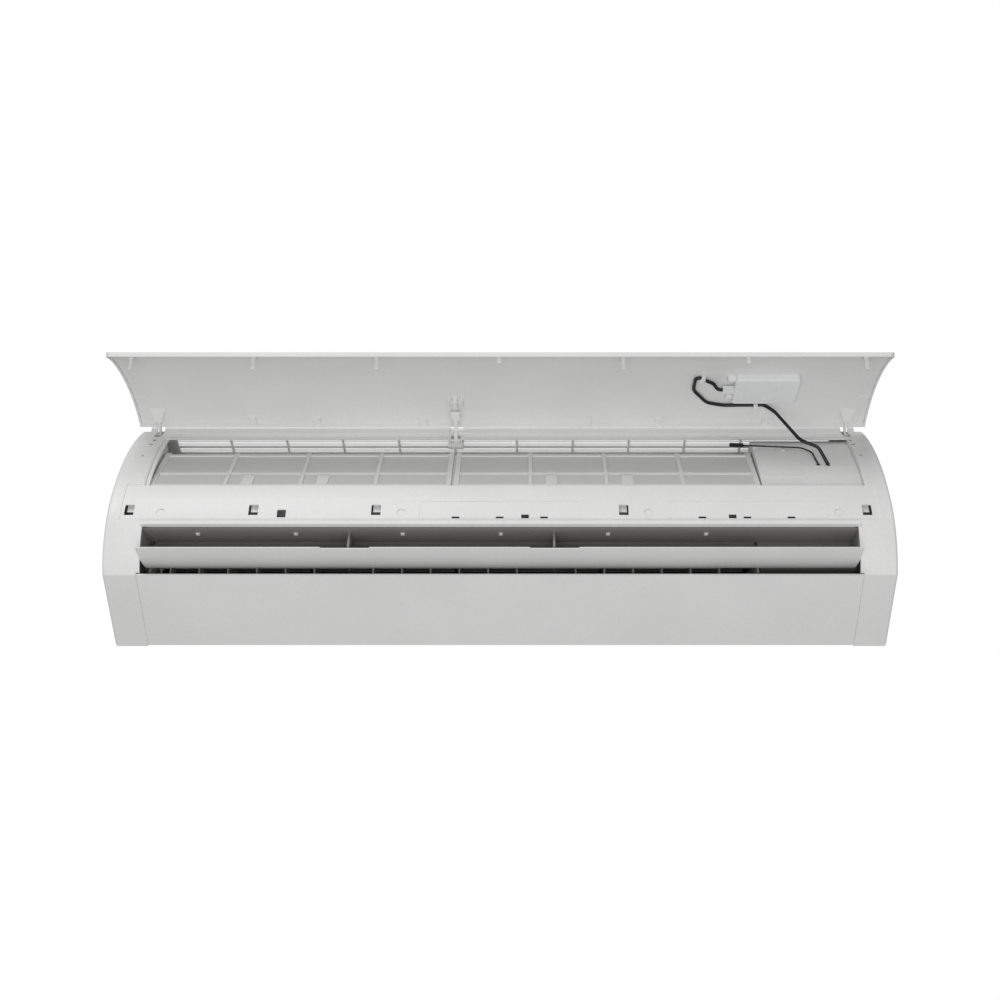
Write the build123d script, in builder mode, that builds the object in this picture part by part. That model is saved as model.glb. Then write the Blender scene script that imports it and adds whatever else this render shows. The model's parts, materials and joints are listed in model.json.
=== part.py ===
"""Indoor unit of a mini split air conditioner, with its front panel open and its louver part open.

Sizes are in millimetres.  X runs along the unit to the right, Y into the wall and Z up.  The origin is in
the middle of the four screws of the wall plate, on the wall.  Most side views are drawn with Y to the right
and heights measured from the underside of the unit, which the function up() turns into Z.
"""
from build123d import *
import os
from math import acos, asin, atan2, cos, hypot, pi, radians, sin, sqrt

os.makedirs("parts", exist_ok=True)

# ---------------------------------------------------------------- driving sizes: casing
body_width = 1080.0
body_height = 318.0
body_depth = 218.0
nose_height = 141.0        # where the front stands furthest out
upper_radius = 278.0       # front surface above the nose
lower_radius = 142.0       # front surface below the nose
shoulder_drop = 14.0       # from the top down to where the front turns over
shoulder_height = body_height - shoulder_drop
underside_rear = 60.0      # rear edge of the underside, out from the wall
recess_side = 30.0         # upright side of the pipe recess
recess_height = 86.0       # top of the pipe recess at the wall side
back_gap = 12.0            # between the wall and the back of the casing
plate_height = 165.0       # middle of the wall plate above the underside
frame_wall = 3.0
cap_width = 14.0
cap_wall = 2.5
cap_round = 4.0
fit_gap = 0.3              # between pieces that stand side by side
frame_half = body_width / 2 - cap_width

# ---------------------------------------------------------------- driving sizes: openings of the front frame
mouth_inset = 37.0         # ends of the outlet from the ends of the frame
mouth_half = frame_half - mouth_inset
mouth_low = 41.0
mouth_high = 97.5
cover_half = mouth_half + 5.0
cover_top = 43.5
window_left = -(frame_half - 29.0)
window_right = frame_half - 18.0
window_low = 163.0
window_high = body_height - 40.5
field_half = frame_half - 5.0      # sunken field under the closed panel
field_sink = 1.2

# ---------------------------------------------------------------- driving sizes: front panel
panel_width = body_width + 2.0
panel_low = 104.0
panel_high = body_height - 26.0
panel_stand = 9.0          # outer face of the closed panel in front of the frame
panel_wall = 2.6
panel_rim_gap = 2.8        # rim of the closed panel to the frame
hinge_rim = 1.6            # rim along the hinge edge to the frame
panel_opening = 67.0
hinge_depth = 164.0
hinge_height = body_height - 19.5
hinge_pin = 2.5
running_gap = 0.05         # radial clearance of every pin in its hole

# ---------------------------------------------------------------- driving sizes: louver and vanes
louver_pivot_depth = 183.8
louver_pivot_height = 66.0
louver_opening = 68.4
louver_low = 43.0
louver_high = 96.0
louver_half = mouth_half - 2.0
louver_wall = 3.0
louver_pin = 3.0
motor_wall = mouth_half - 134.0    # wall between the air path and the fan motor
bay_width = (motor_wall + mouth_half) / 3
bay_edges = [index * bay_width - mouth_half for index in range(4)]
vane_count = 6
vane_first = 30.5          # first vane of a bay from the bay's left wall
vane_last = 51.3           # last vane of a bay from the bay's right wall
vane_pitch = (bay_width - vane_first - vane_last) / (vane_count - 1)
vane_front = 14.0
vane_rear = 12.0
vane_tall = 38.0
vane_short = 22.0
vane_thick = 2.0
vane_seat = 46.0           # vane pivots behind the front edge of the lower wall
vane_pin = 1.55
link_arm = 9.0             # link pins behind the vane pivots
link_pin = 1.2
link_level = 14.0
link_thick = 2.0

crank_x = -mouth_half + 14.0
crank_shaft = 2.0

# ---------------------------------------------------------------- driving sizes: refrigerant pipes
gas_radius = 7.95
gas_x = mouth_half - 17.0
gas_depth = 27.0
gas_height = 44.0
liquid_radius = 3.175
liquid_x = gas_x - 14.0
liquid_depth = 14.0
liquid_height = 64.0

# ---------------------------------------------------------------- driving sizes: air path and heat exchanger
fan_depth = 108.0
fan_height = 148.0
fan_radius = 50.0
chassis_half = frame_half - 40.0
fan_left = -(chassis_half - 8.0)
fan_right = motor_wall - 7.0
scroll_gap = 10.0
wall_sheet = 2.5
floor_lip = (-168.0, 46.5)     # front edge of the lower wall of the outlet
coil_left = -(chassis_half - 18.0)
coil_right = motor_wall - 13.0
coil_thick = 26.0
tube_radius = 3.0

# ---------------------------------------------------------------- driving sizes: module and leads
module_x = frame_half - 145.0
module_height = 215.0
module_size = (92.0, 60.0, 11.0)
module_seats = (module_x - 24.0, module_x + 24.0)
plug_length = 16.0
# where the leads enter the cover of the control box
lead_holes = ((window_right - 41.0, 212.0), (window_right - 55.0, 213.0))
# clips of the module's lead: place along and up the panel, and turn in degrees
lead_clip_places = ((module_x - 94.2, 193.1, 40.0), (module_x - 9.1, 254.5, 0.0))

# ---------------------------------------------------------------- driving sizes: air filters
filter_foot = (-211.0, 166.5)
filter_lean = 23.0             # of the front run, from upright
filter_crest = body_height - 57.0
filter_knee = (-100.0, body_height - 26.0)
filter_rear = (-38.0, body_height - 18.0)
crest_round = 14.0
knee_round = 60.0
filter_frame_thick = 2.2
filter_net_thick = 0.4
filter_spans = ((window_left + 3.0, -70.5), (-66.5, motor_wall + 9.0))
filter_columns = 4


# ---------------------------------------------------------------- shared geometry
def up(height):
    """Z of a height above the underside."""
    return height - plate_height


def front_y(height, out=0.0):
    """Y of the curved front at a height, moved outward by out."""
    radius = upper_radius if height > nose_height else lower_radius
    return -body_depth + radius - sqrt((radius + out) ** 2 - (height - nose_height) ** 2)


def front_point(height, out=0.0, origin=(0.0, 0.0)):
    """Point of the curved front in a side view whose own origin is given."""
    return (front_y(height, out) - origin[0], height - origin[1])


def front_arc(start, end, out=0.0, origin=(0.0, 0.0)):
    """Arcs of the front between two heights, drawn in the current line."""
    stops = [start, end]
    if min(start, end) < nose_height < max(start, end):
        stops = [start, nose_height, end]
    for low, high in zip(stops, stops[1:]):
        ThreePointArc(
            front_point(low, out, origin),
            front_point((low + high) / 2, out, origin),
            front_point(high, out, origin),
        )


def front_band(low, high, inner, outer, origin=(0.0, 0.0)):
    """Closed outline between two offsets of the front and two heights, drawn in the current line."""
    front_arc(low, high, outer, origin)
    Line(front_point(high, outer, origin), front_point(high, inner, origin))
    front_arc(high, low, inner, origin)
    Line(front_point(low, inner, origin), front_point(low, outer, origin))


ground = (0.0, plate_height)   # origin of side views that stand on Plane.YZ
outlet_edge = (front_y(mouth_low - 1.0), mouth_low - 1.0)


def shell_line(inset, rear_y):
    """Side outline of the casing, moved inward by inset, closed at rear_y."""
    slope = atan2(outlet_edge[1], -underside_rear - outlet_edge[0])
    shift = (inset * sin(slope), inset * cos(slope))
    heel = (-underside_rear + shift[0], up(shift[1]))
    edge = (outlet_edge[0] + shift[0], up(outlet_edge[1] + shift[1]))
    lean = asin((shoulder_height - nose_height) / upper_radius)
    shoulder = front_point(shoulder_height, -inset, ground)
    rise = body_height - inset - shoulder_height
    turn = rise / (1 - sin(lean))
    crest = (shoulder[0] + turn * cos(lean), up(body_height - inset))
    Line(heel, edge)
    ThreePointArc(
        edge,
        front_point((outlet_edge[1] + nose_height) / 2, -inset, ground),
        front_point(nose_height, -inset, ground),
    )
    front_arc(nose_height, shoulder_height, -inset, ground)
    TangentArc(shoulder, crest, tangent=(sin(lean), cos(lean)))
    Line(crest, (rear_y, crest[1]))
    if rear_y > -1.0:
        Polyline((rear_y, crest[1]), (rear_y, heel[1]), heel)
    else:
        Polyline(
            (rear_y, crest[1]),
            (rear_y, up(recess_height)),
            (-underside_rear + inset, up(recess_side)),
            heel,
        )


def side_plane(x):
    """Plane square to X, with Y to the right and Z up."""
    return Plane.YZ.offset(x)


def turned_plane(x, pivot_depth, pivot_height, angle):
    """Side view whose origin is a pivot, turned about the pivot by an angle."""
    turn = radians(angle)
    return Plane(
        origin=(x, -pivot_depth, up(pivot_height)),
        x_dir=(0, cos(turn), sin(turn)),
        z_dir=(1, 0, 0),
    )


def panel_plane(x):
    """Side view of the open panel, drawn as if it were closed, from its hinge."""
    return turned_plane(x, hinge_depth, hinge_height, -panel_opening)


def louver_plane(x):
    """Side view of the open louver, drawn as if it were closed, from its pivot."""
    return turned_plane(x, louver_pivot_depth, louver_pivot_height, louver_opening)


hinge_origin = (-hinge_depth, hinge_height)
louver_origin = (-louver_pivot_depth, louver_pivot_height)

# The lower wall of the outlet is straight from its front edge to where it meets the scroll round the fan.
scroll_radius = fan_radius + scroll_gap
fan_axis = (-fan_depth, fan_height)
reach = (floor_lip[0] - fan_axis[0], floor_lip[1] - fan_axis[1])
touch_angle = atan2(reach[1], reach[0]) + acos(scroll_radius / hypot(*reach))
floor_rear = (
    fan_axis[0] + scroll_radius * cos(touch_angle),
    fan_axis[1] + scroll_radius * sin(touch_angle),
)
floor_slope = atan2(floor_rear[1] - floor_lip[1], floor_rear[0] - floor_lip[0])


def floor_plane(x):
    """Side view along the lower wall of the outlet: X' runs back from its front edge, Y' stands off it."""
    return Plane(
        origin=(x, floor_lip[0], up(floor_lip[1])),
        x_dir=(0, cos(floor_slope), sin(floor_slope)),
        z_dir=(1, 0, 0),
    )


def upright_plane(x, back, level):
    """Plane parallel to the lower wall of the outlet, at a distance back and a level above it."""
    y = floor_lip[0] + back * cos(floor_slope) - level * sin(floor_slope)
    height = floor_lip[1] + back * sin(floor_slope) + level * cos(floor_slope)
    return Plane(
        origin=(x, y, up(height)),
        x_dir=(1, 0, 0),
        z_dir=(0, -sin(floor_slope), cos(floor_slope)),
    )


def finish(part, label):
    """Name a finished piece and write it."""
    part.label = label
    export_step(part, f"parts/{label}.step")


# ---------------------------------------------------------------- wall plate
plate_width = 900.0
plate_tall = 226.0
plate_sheet = 1.6
screw_span = 800.0
screw_rise = 170.0
screw_radius = 3.0
plate_window = (180.0, 90.0)
hook_height = 287.0
hook_lip = 9.0
hook_width = 40.0
hook_spread = 300.0

with BuildPart() as wall_plate:
    with BuildSketch(Plane.XZ):
        RectangleRounded(plate_width, plate_tall, 12.0)
        with GridLocations(screw_span, screw_rise, 2, 2):
            Circle(screw_radius, mode=Mode.SUBTRACT)
        with GridLocations(plate_window[0] + 240.0, 1.0, 2, 1):
            RectangleRounded(*plate_window, 14.0, mode=Mode.SUBTRACT)
    extrude(amount=plate_sheet)
    for side in (-1, 1):
        with BuildSketch(side_plane(side * hook_spread - hook_width / 2)):
            with BuildLine():
                root = plate_tall / 2
                Polyline(
                    (-plate_sheet, root - 3.0),
                    (-plate_sheet, root),
                    (-plate_sheet, up(hook_height)),
                    (-6.4, up(hook_height)),
                    (-6.4, up(hook_height + hook_lip)),
                    (-8.0, up(hook_height + hook_lip)),
                    (-8.0, up(hook_height) - plate_sheet),
                    (-2 * plate_sheet, up(hook_height) - plate_sheet),
                    (-2 * plate_sheet, root - 3.0),
                    close=True,
                )
            make_face()
        extrude(amount=hook_width)
finish(wall_plate.part, "wall_plate")

# ---------------------------------------------------------------- rear chassis
back_y = -back_gap + 1.5
shelf_angle = radians(35.0)
shelf_height = fan_height + scroll_radius * sin(shelf_angle)
bearing_hole = 12.0
end_wall_top = 209.0


def scroll_outline():
    """Lower wall of the outlet, scroll behind the fan and the shelf under the rear coil."""
    outer = scroll_radius + wall_sheet
    shelf_start = fan_axis[0] + scroll_radius * cos(shelf_angle)
    shelf_outer = fan_axis[0] + outer * cos(shelf_angle)
    middle = (touch_angle + shelf_angle) / 2

    def around(radius, angle):
        return (fan_axis[0] + radius * cos(angle), up(fan_axis[1] + radius * sin(angle)))

    lip = (floor_lip[0], up(floor_lip[1]))
    under = (
        floor_lip[0] + wall_sheet * sin(floor_slope),
        up(floor_lip[1] - wall_sheet * cos(floor_slope)),
    )
    Line(lip, around(scroll_radius, touch_angle))
    ThreePointArc(
        around(scroll_radius, touch_angle),
        around(scroll_radius, middle),
        around(scroll_radius, shelf_angle),
    )
    Polyline(
        around(scroll_radius, shelf_angle),
        (shelf_start, up(shelf_height + 5.0)),
        (shelf_outer, up(shelf_height + 5.0)),
        (shelf_outer, up(shelf_height + wall_sheet)),
        (back_y - 1.0, up(shelf_height + wall_sheet)),
        (back_y - 1.0, up(shelf_height)),
        (shelf_outer, up(shelf_height)),
        around(outer, shelf_angle),
    )
    ThreePointArc(
        around(outer, shelf_angle),
        around(outer, middle),
        around(outer, touch_angle),
    )
    Line(around(outer, touch_angle), under)
    Line(under, lip)


with BuildPart() as rear_chassis:
    with BuildSketch(side_plane(-chassis_half)):
        with BuildLine():
            scroll_outline()
        make_face()
    extrude(amount=chassis_half + motor_wall + wall_sheet)
    # Back wall and the slanted wall of the pipe recess.
    back_half = frame_half - 3.0
    with BuildSketch(side_plane(-back_half)):
        with BuildLine():
            Polyline(
                (back_y, up(body_height - 6.0)),
                (back_y - wall_sheet, up(body_height - 6.0)),
                (back_y - wall_sheet, up(recess_height + 2.0)),
                (-underside_rear - wall_sheet / 2, up(recess_side + 1.5)),
                (-underside_rear - wall_sheet / 2, up(6.0)),
                (-underside_rear + wall_sheet / 2, up(6.0)),
                (-underside_rear + wall_sheet / 2, up(recess_side)),
                (back_y, up(recess_height)),
                close=True,
            )
        make_face()
    extrude(amount=2 * back_half)
    # End walls that carry the bearing and close the fan housing on the motor side.
    for x in (-chassis_half, motor_wall):
        with BuildSketch(side_plane(x)):
            with BuildLine():
                step_y = -150.0
                step_height = floor_lip[1] + (step_y - floor_lip[0]) * sin(floor_slope) / cos(floor_slope)
                Polyline(
                    (back_y - 0.5, up(recess_height + 3.0)),
                    (back_y - 0.5, up(end_wall_top)),
                    (-168.0, up(end_wall_top)),
                    (-168.0, up(131.0)),
                    (step_y, up(125.0)),
                    (step_y, up(step_height)),
                    (floor_rear[0], up(floor_rear[1])),
                    (-underside_rear, up(recess_side + 10.0)),
                    close=True,
                )
            make_face()
            with Locations((fan_axis[0], up(fan_axis[1]))):
                Circle(bearing_hole, mode=Mode.SUBTRACT)
        extrude(amount=wall_sheet)
    # Ledges that hang on the hooks of the wall plate.
    for side in (-1, 1):
        with Locations((side * hook_spread, (back_y - 3.0) / 2, up(hook_height + hook_lip + 1.5))):
            Box(hook_width + 8.0, -back_y - 3.0, 3.0)
    # Passages for the pipes and for the shaft of the vane crank.
    with Locations(Location((gas_x - 2.0, -50.0, up(gas_height)), (90, 0, 0))):
        Cylinder(gas_radius + 6.0, 40.0, mode=Mode.SUBTRACT)
    with Locations(Location((liquid_x, -34.0, up(liquid_height)), (90, 0, 0))):
        Cylinder(liquid_radius + 3.0, 30.0, mode=Mode.SUBTRACT)
    with BuildSketch(upright_plane(crank_x, vane_seat, -6.0)):
        Circle(crank_shaft + 0.6)
    extrude(amount=8.0, mode=Mode.SUBTRACT)
    # Upright ribs between the scroll and the back wall.
    with Locations(*[(x, (back_y - 52.0) / 2, up(150.0)) for x in (-360.0, -120.0, 120.0, 300.0)]):
        Box(2.0, 40.0, 60.0)
finish(rear_chassis.part, "rear_chassis")

# ---------------------------------------------------------------- front frame
slot_half = frame_half - 28.0
top_slot = (-slot_half, slot_half, -138.5, -30.0)
latch_places = (-(frame_half - 16.0), -339.5, -171.0, 169.5, frame_half - 22.2)
latch_height = 121.0
latch_size = (13.0, 16.0)
square_hole = -300.5
cap_places = (-(frame_half - 60.0), -136.0, 203.5, frame_half - 61.5)
cap_height = 116.5
cap_radius = 6.2
hinge_places = (-(frame_half - 15.0), frame_half - 15.0)
hinge_slot = 10.0
prop_place = -69.0
prop_slot = 18.0
prop_pivot = (-168.0, body_height - 32.0)
pockets = ((-111.0, 108.0), (230.5, 448.5))
pocket_slots = ((-61.4, -0.9, 33.8, 59.9), (277.0, 318.5, 338.6, 399.0))
tall_slots = (2, 1)
slot_low = 108.6
catch_gap = 8.0            # from the frame's face back to the catch plates
catch_lift = 1.0           # from the window's middle up to the catch plates

with BuildPart() as front_frame:
    with BuildSketch(side_plane(-frame_half)):
        with BuildLine():
            shell_line(0.0, -back_gap)
        make_face()
        with BuildLine():
            shell_line(frame_wall, 5.0)
        make_face(mode=Mode.SUBTRACT)
    extrude(amount=2 * frame_half)
    # Outlet mouth, place of the lower cover, filter window and top inlet.
    mouth_middle = (mouth_low + mouth_high) / 2
    with Locations((0, -body_depth, up(mouth_middle))):
        Box(2 * mouth_half, 140.0, mouth_high - mouth_low, mode=Mode.SUBTRACT)
    with Locations((0, -body_depth + 80.0, up(cover_top / 2 - 10.0))):
        Box(2 * cover_half, 200.0, cover_top + 20.0, mode=Mode.SUBTRACT)
    with Locations(((window_left + window_right) / 2, -body_depth, up((window_low + window_high) / 2))):
        Box(window_right - window_left, 120.0, window_high - window_low, mode=Mode.SUBTRACT)
    with Locations((0, (top_slot[2] + top_slot[3]) / 2, up(body_height))):
        Box(top_slot[1] - top_slot[0], top_slot[3] - top_slot[2], 20.0, mode=Mode.SUBTRACT)
    # Sunken field that the closed panel covers.
    with BuildSketch(side_plane(-field_half)):
        with BuildLine():
            front_band(mouth_high + 8.5, window_low + 1.0, -field_sink, 2.0, ground)
        make_face()
    extrude(amount=2 * field_half, mode=Mode.SUBTRACT)
    # Two shallow pockets, each with small slots along its lower edge.
    for (left, right), slots, tall_slot in zip(pockets, pocket_slots, tall_slots):
        with BuildSketch(side_plane(left)):
            with BuildLine():
                front_band(108.0, 134.5, -2.1, 0.0, ground)
            make_face()
        extrude(amount=right - left, mode=Mode.SUBTRACT)
        for index, x in enumerate(slots):
            slot_tall = 6.0 if index == tall_slot else 3.0
            with Locations((x, -body_depth, up(slot_low + slot_tall / 2))):
                Box(10.5, 20.0, slot_tall, mode=Mode.SUBTRACT)
    # Latch windows, a square hole and the screw holes.
    with Locations(*[(x, -body_depth, up(latch_height)) for x in latch_places]):
        Box(latch_size[0], 20.0, latch_size[1], mode=Mode.SUBTRACT)
    with Locations((square_hole, -body_depth, up(latch_height - 5.5))):
        Box(12.0, 20.0, 12.0, mode=Mode.SUBTRACT)
    with Locations(*[Location((x, -body_depth, up(cap_height)), (90, 0, 0)) for x in cap_places]):
        Cylinder(cap_radius, 20.0, mode=Mode.SUBTRACT)
    # Catch plates behind the latch windows, each hung from a short neck.
    for x in latch_places:
        plate_low = latch_height + catch_lift
        plate_high = latch_height + latch_size[1] / 2 + 8.0
        shift = 1.8 if x < 0 else -1.8
        with BuildSketch(side_plane(x - latch_size[0] / 2 + shift)):
            with BuildLine():
                front_band(plate_high - 3.0, plate_high, -catch_gap - 1.5, -2.0, ground)
            make_face()
            with BuildLine():
                front_band(plate_low, plate_high, -catch_gap - 1.5, -catch_gap, ground)
            make_face()
        extrude(amount=latch_size[0])
    # Raised rails beside the window and small slots over them.
    for start in (window_left - 8.0, window_right + 1.5):
        with BuildSketch(side_plane(start)):
            with BuildLine():
                front_band(window_low + 4.0, window_high - 28.0, -1.0, 1.0, ground)
            make_face()
        extrude(amount=6.5)
    for side in (-1, 1):
        for inset, level, wide, tall in ((14.0, 258.0, 6.0, 3.5), (15.5, 271.0, 5.0, 5.0), (11.0, 226.0, 3.0, 3.0)):
            with Locations((side * (frame_half - inset), front_y(level), up(level))):
                Box(wide, 10.0, tall, mode=Mode.SUBTRACT)
    # Upright ridge in front of the shoulder, which the hinge edge of the open panel meets.
    slot_edges = (hinge_places[1] - hinge_slot / 2 - 0.5, hinge_places[1] + hinge_slot / 2 + 0.5)
    for start, end in (
        (-frame_half + 0.5, -slot_edges[1]),
        (-slot_edges[0], prop_place - prop_slot / 2 - 1.0),
        (prop_place + prop_slot / 2 + 1.0, slot_edges[0]),
        (slot_edges[1], frame_half - 0.5),
    ):
        with BuildSketch(side_plane(start)):
            with BuildLine():
                Polyline(
                    (-168.0, up(hinge_height - 0.5)),
                    (-168.0, up(hinge_height + 15.0)),
                    (-166.0, up(hinge_height + 15.0)),
                    (-163.5, up(hinge_height + 5.0)),
                    (-163.5, up(hinge_height - 0.5)),
                    close=True,
                )
            make_face()
        extrude(amount=end - start)
    # Block behind the prop, between the two filters.
    with Locations((prop_place, -160.75, up(body_height - 22.75))):
        Box(prop_slot + 4.0, 7.5, 36.5)
    # Slots for the hinge arms and for the prop.
    with Locations(*[(x, -hinge_depth - 4.0, up(hinge_height - 1.5)) for x in hinge_places]):
        Box(hinge_slot, 50.0, 26.0, mode=Mode.SUBTRACT)
    with Locations((prop_place, -hinge_depth - 16.0 - 3.5, up(prop_pivot[1] + 3.0))):
        Box(prop_slot, 30.0, 26.0, mode=Mode.SUBTRACT)
    # Ears that hold the pins of the panel hinge and of the prop.
    for side in (-1, 1):
        inner_x = side * (hinge_places[1] + hinge_slot / 2 + 0.5)
        with BuildSketch(side_plane(min(inner_x, inner_x + side * 3.0))):
            with Locations((-hinge_depth, up(hinge_height))):
                Circle(6.0)
            with BuildLine():
                front_band(hinge_height - 8.0, hinge_height + 5.0, -7.0, -0.5, ground)
            make_face()
            with Locations((-hinge_depth, up(hinge_height))):
                Circle(hinge_pin + running_gap, mode=Mode.SUBTRACT)
            with BuildLine():
                front_band(hinge_height - 20.0, hinge_height + 10.0, -0.2, 12.0, ground)
            make_face(mode=Mode.SUBTRACT)
        extrude(amount=3.0)
        with BuildSketch(side_plane(min(inner_x, inner_x + side * 3.0) - 0.6)):
            with Locations((-hinge_depth, up(hinge_height))):
                Circle(hinge_pin + running_gap)
        extrude(amount=4.2, mode=Mode.SUBTRACT)
        ear_x = prop_place + side * (prop_slot / 2 - 2.0)
        with BuildSketch(side_plane(min(ear_x, ear_x + side * 2.5))):
            with BuildLine():
                front_band(prop_pivot[1] - 6.0, prop_pivot[1] + 6.0, -11.0, -0.5, ground)
            make_face()
            with Locations((prop_pivot[0], up(prop_pivot[1]))):
                Circle(5.0)
                Circle(2.0 + running_gap, mode=Mode.SUBTRACT)
        extrude(amount=2.5)
    # Lip over the outlet and sills of the filter window.
    with BuildSketch(side_plane(-mouth_half - 3.0)):
        with BuildLine():
            front_band(mouth_high, mouth_high + 5.0, -1.0, 3.0, ground)
        make_face()
    extrude(amount=2 * mouth_half + 6.0)
    with BuildSketch(side_plane(window_left - 2.0)):
        with BuildLine():
            front_band(window_low - 2.0, window_low, -11.0, -1.5, ground)
        make_face()
    extrude(amount=window_right - window_left + 4.0)
    for x in (window_left - 2.0, window_right):
        with BuildSketch(side_plane(x)):
            with BuildLine():
                front_band(window_low - 2.0, window_high, -24.0, -1.5, ground)
            make_face()
        extrude(amount=2.0)
    # Ledge over the outer edge of the left filter.
    with BuildSketch(side_plane(window_left - 1.0)):
        with BuildLine():
            front_band(window_low - 1.0, window_high + 1.0, -4.5, -3.0, ground)
        make_face()
    extrude(amount=6.5)
finish(front_frame.part, "front_frame")

# ---------------------------------------------------------------- side caps
for side, name in ((-1, "side_cap_left"), (1, "side_cap_right")):
    near_x = side * (frame_half + fit_gap / 10)
    far_x = side * body_width / 2
    with BuildPart() as side_cap:
        with BuildSketch(side_plane(min(near_x, far_x))):
            with BuildLine():
                shell_line(0.0, -back_gap)
            make_face()
        extrude(amount=abs(far_x - near_x))
        rim = side_cap.edges().filter_by_position(Axis.X, far_x - 0.01, far_x + 0.01)
        rim = rim.filter_by(lambda edge: edge.center().Y < -underside_rear + 5.0)
        fillet(rim, cap_round)
        floor_x = far_x - side * cap_wall
        with BuildSketch(side_plane(min(near_x, floor_x))):
            with BuildLine():
                shell_line(cap_wall, -back_gap - cap_wall)
            make_face()
        extrude(amount=abs(floor_x - near_x), mode=Mode.SUBTRACT)
    finish(side_cap.part, name)

# ---------------------------------------------------------------- lower cover
cover_sheet = 2.2
cover_slope = atan2(outlet_edge[1], -underside_rear - outlet_edge[0])

with BuildPart() as lower_cover:
    with BuildSketch(side_plane(-cover_half + fit_gap)):
        with BuildLine():
            lift = (cover_sheet * sin(cover_slope), cover_sheet * cos(cover_slope))
            heel_y = -underside_rear - wall_sheet / 2 - fit_gap
            heel_height = (-underside_rear - heel_y) * sin(cover_slope) / cos(cover_slope)
            Polyline(
                (heel_y, up(heel_height)),
                (outlet_edge[0], up(outlet_edge[1])),
                (outlet_edge[0] + 0.5, up(outlet_edge[1] + 2.6)),
                (outlet_edge[0] + 5.0, up(outlet_edge[1] + 2.0)),
                (outlet_edge[0] + 5.0 + lift[0], up(outlet_edge[1] - 5.0 * sin(cover_slope) + lift[1])),
                (heel_y, up(heel_height + cover_sheet)),
                close=True,
            )
        make_face()
    extrude(amount=2 * (cover_half - fit_gap))
    # Ribs on the hidden side.
    for x in (-380.0, -190.0, 0.0, 190.0, 380.0):
        with BuildSketch(side_plane(x - 1.0)):
            with BuildLine():
                Polyline(
                    (-158.0, up(34.8)),
                    (-80.0, up(8.0)),
                    (-80.0, up(16.0)),
                    (-158.0, up(42.0)),
                    close=True,
                )
            make_face()
        extrude(amount=2.0)
finish(lower_cover.part, "lower_cover")

# ---------------------------------------------------------------- top grille
grille_sheet = 2.5
grille_gap = 0.4
grille_border = 1.6
slat_first = 20.8          # middle of the first slat from the front edge of the opening
slat_pitch = 14.5
slat_count = 6
slat_width = 3.0
brace_pitch = 85.2
brace_starts = (-414.2, 20.9)
brace_count = 5

with BuildPart() as top_grille:
    grille_x = top_slot[1] - top_slot[0] - 2 * grille_gap
    grille_y = top_slot[3] - top_slot[2] - 2 * grille_gap
    grille_middle = (top_slot[2] + top_slot[3]) / 2
    inner_x = grille_x - 2 * grille_border
    inner_y = grille_y - 2 * grille_border
    with BuildSketch(Plane.XY.offset(up(body_height) - grille_sheet)):
        with Locations((0, grille_middle)):
            Rectangle(grille_x, grille_y)
            Rectangle(inner_x, inner_y, mode=Mode.SUBTRACT)
        for index in range(slat_count):
            with Locations((0, top_slot[2] + slat_first + index * slat_pitch)):
                Rectangle(inner_x + 1.0, slat_width)
        for start in brace_starts:
            for index in range(brace_count):
                with Locations((start + index * brace_pitch, grille_middle)):
                    Rectangle(slat_width, inner_y + 1.0)
    extrude(amount=grille_sheet)
finish(top_grille.part, "top_grille")


# ---------------------------------------------------------------- air filters and the guides behind them
def filter_corners(offset):
    """Corners of the filter's side view moved inward: foot, crest, knee and rear end."""
    crest_y = filter_foot[0] + (filter_crest - filter_foot[1]) * sin(radians(filter_lean)) / cos(
        radians(filter_lean)
    )
    places = [filter_foot, (crest_y, filter_crest), filter_knee, filter_rear]
    angles = [atan2(b[1] - a[1], b[0] - a[0]) for a, b in zip(places, places[1:])]
    moved = [(places[0][0] + offset * sin(angles[0]), places[0][1] - offset * cos(angles[0]))]
    for place, before, after in zip(places[1:3], angles, angles[1:]):
        half = (before + after) / 2
        reach_in = offset / cos((before - after) / 2)
        moved.append((place[0] + reach_in * sin(half), place[1] - reach_in * cos(half)))
    moved.append((places[3][0] + offset * sin(angles[2]), places[3][1] - offset * cos(angles[2])))
    return moved


def filter_edge(offset):
    """One long edge of the filter's side view, drawn in the current line; returns its two ends."""
    corners = [(y, up(height)) for y, height in filter_corners(offset)]
    FilletPolyline(*corners, radius=[crest_round - offset, knee_round - offset])
    return corners[0], corners[3]


def filter_band(near, far):
    """Closed outline between two depths behind the filter's front face."""
    outer = filter_edge(near)
    inner = filter_edge(far)
    Line(outer[0], inner[0])
    Line(outer[1], inner[1])


def filter_back_plane(x, y):
    """Plane across the rear run of the filter at a depth, its local Y standing inward."""
    corners = filter_corners(0.0)
    start, end = (corners[1], corners[2]) if y < filter_knee[0] else (corners[2], corners[3])
    tilt = atan2(end[1] - start[1], end[0] - start[0])
    height = start[1] + (y - start[0]) * sin(tilt) / cos(tilt)
    return Plane(origin=(x, y, up(height)), x_dir=(1, 0, 0), z_dir=(0, cos(tilt), sin(tilt)))


def filter_plane(x, distance):
    """Plane across the filter at a distance from its foot along the straight front run."""
    lean = radians(filter_lean)
    y = filter_foot[0] + distance * sin(lean)
    height = filter_foot[1] + distance * cos(lean)
    return Plane(origin=(x, y, up(height)), x_dir=(1, 0, 0), z_dir=(0, sin(lean), cos(lean)))


rib_width = 5.0
edge_width = 7.0
rail_width = 4.0
front_rails = (36.0, 90.5)
top_rails = (-138.0, -82.0, -43.0)
tab_size = (16.0, 12.0)

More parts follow.
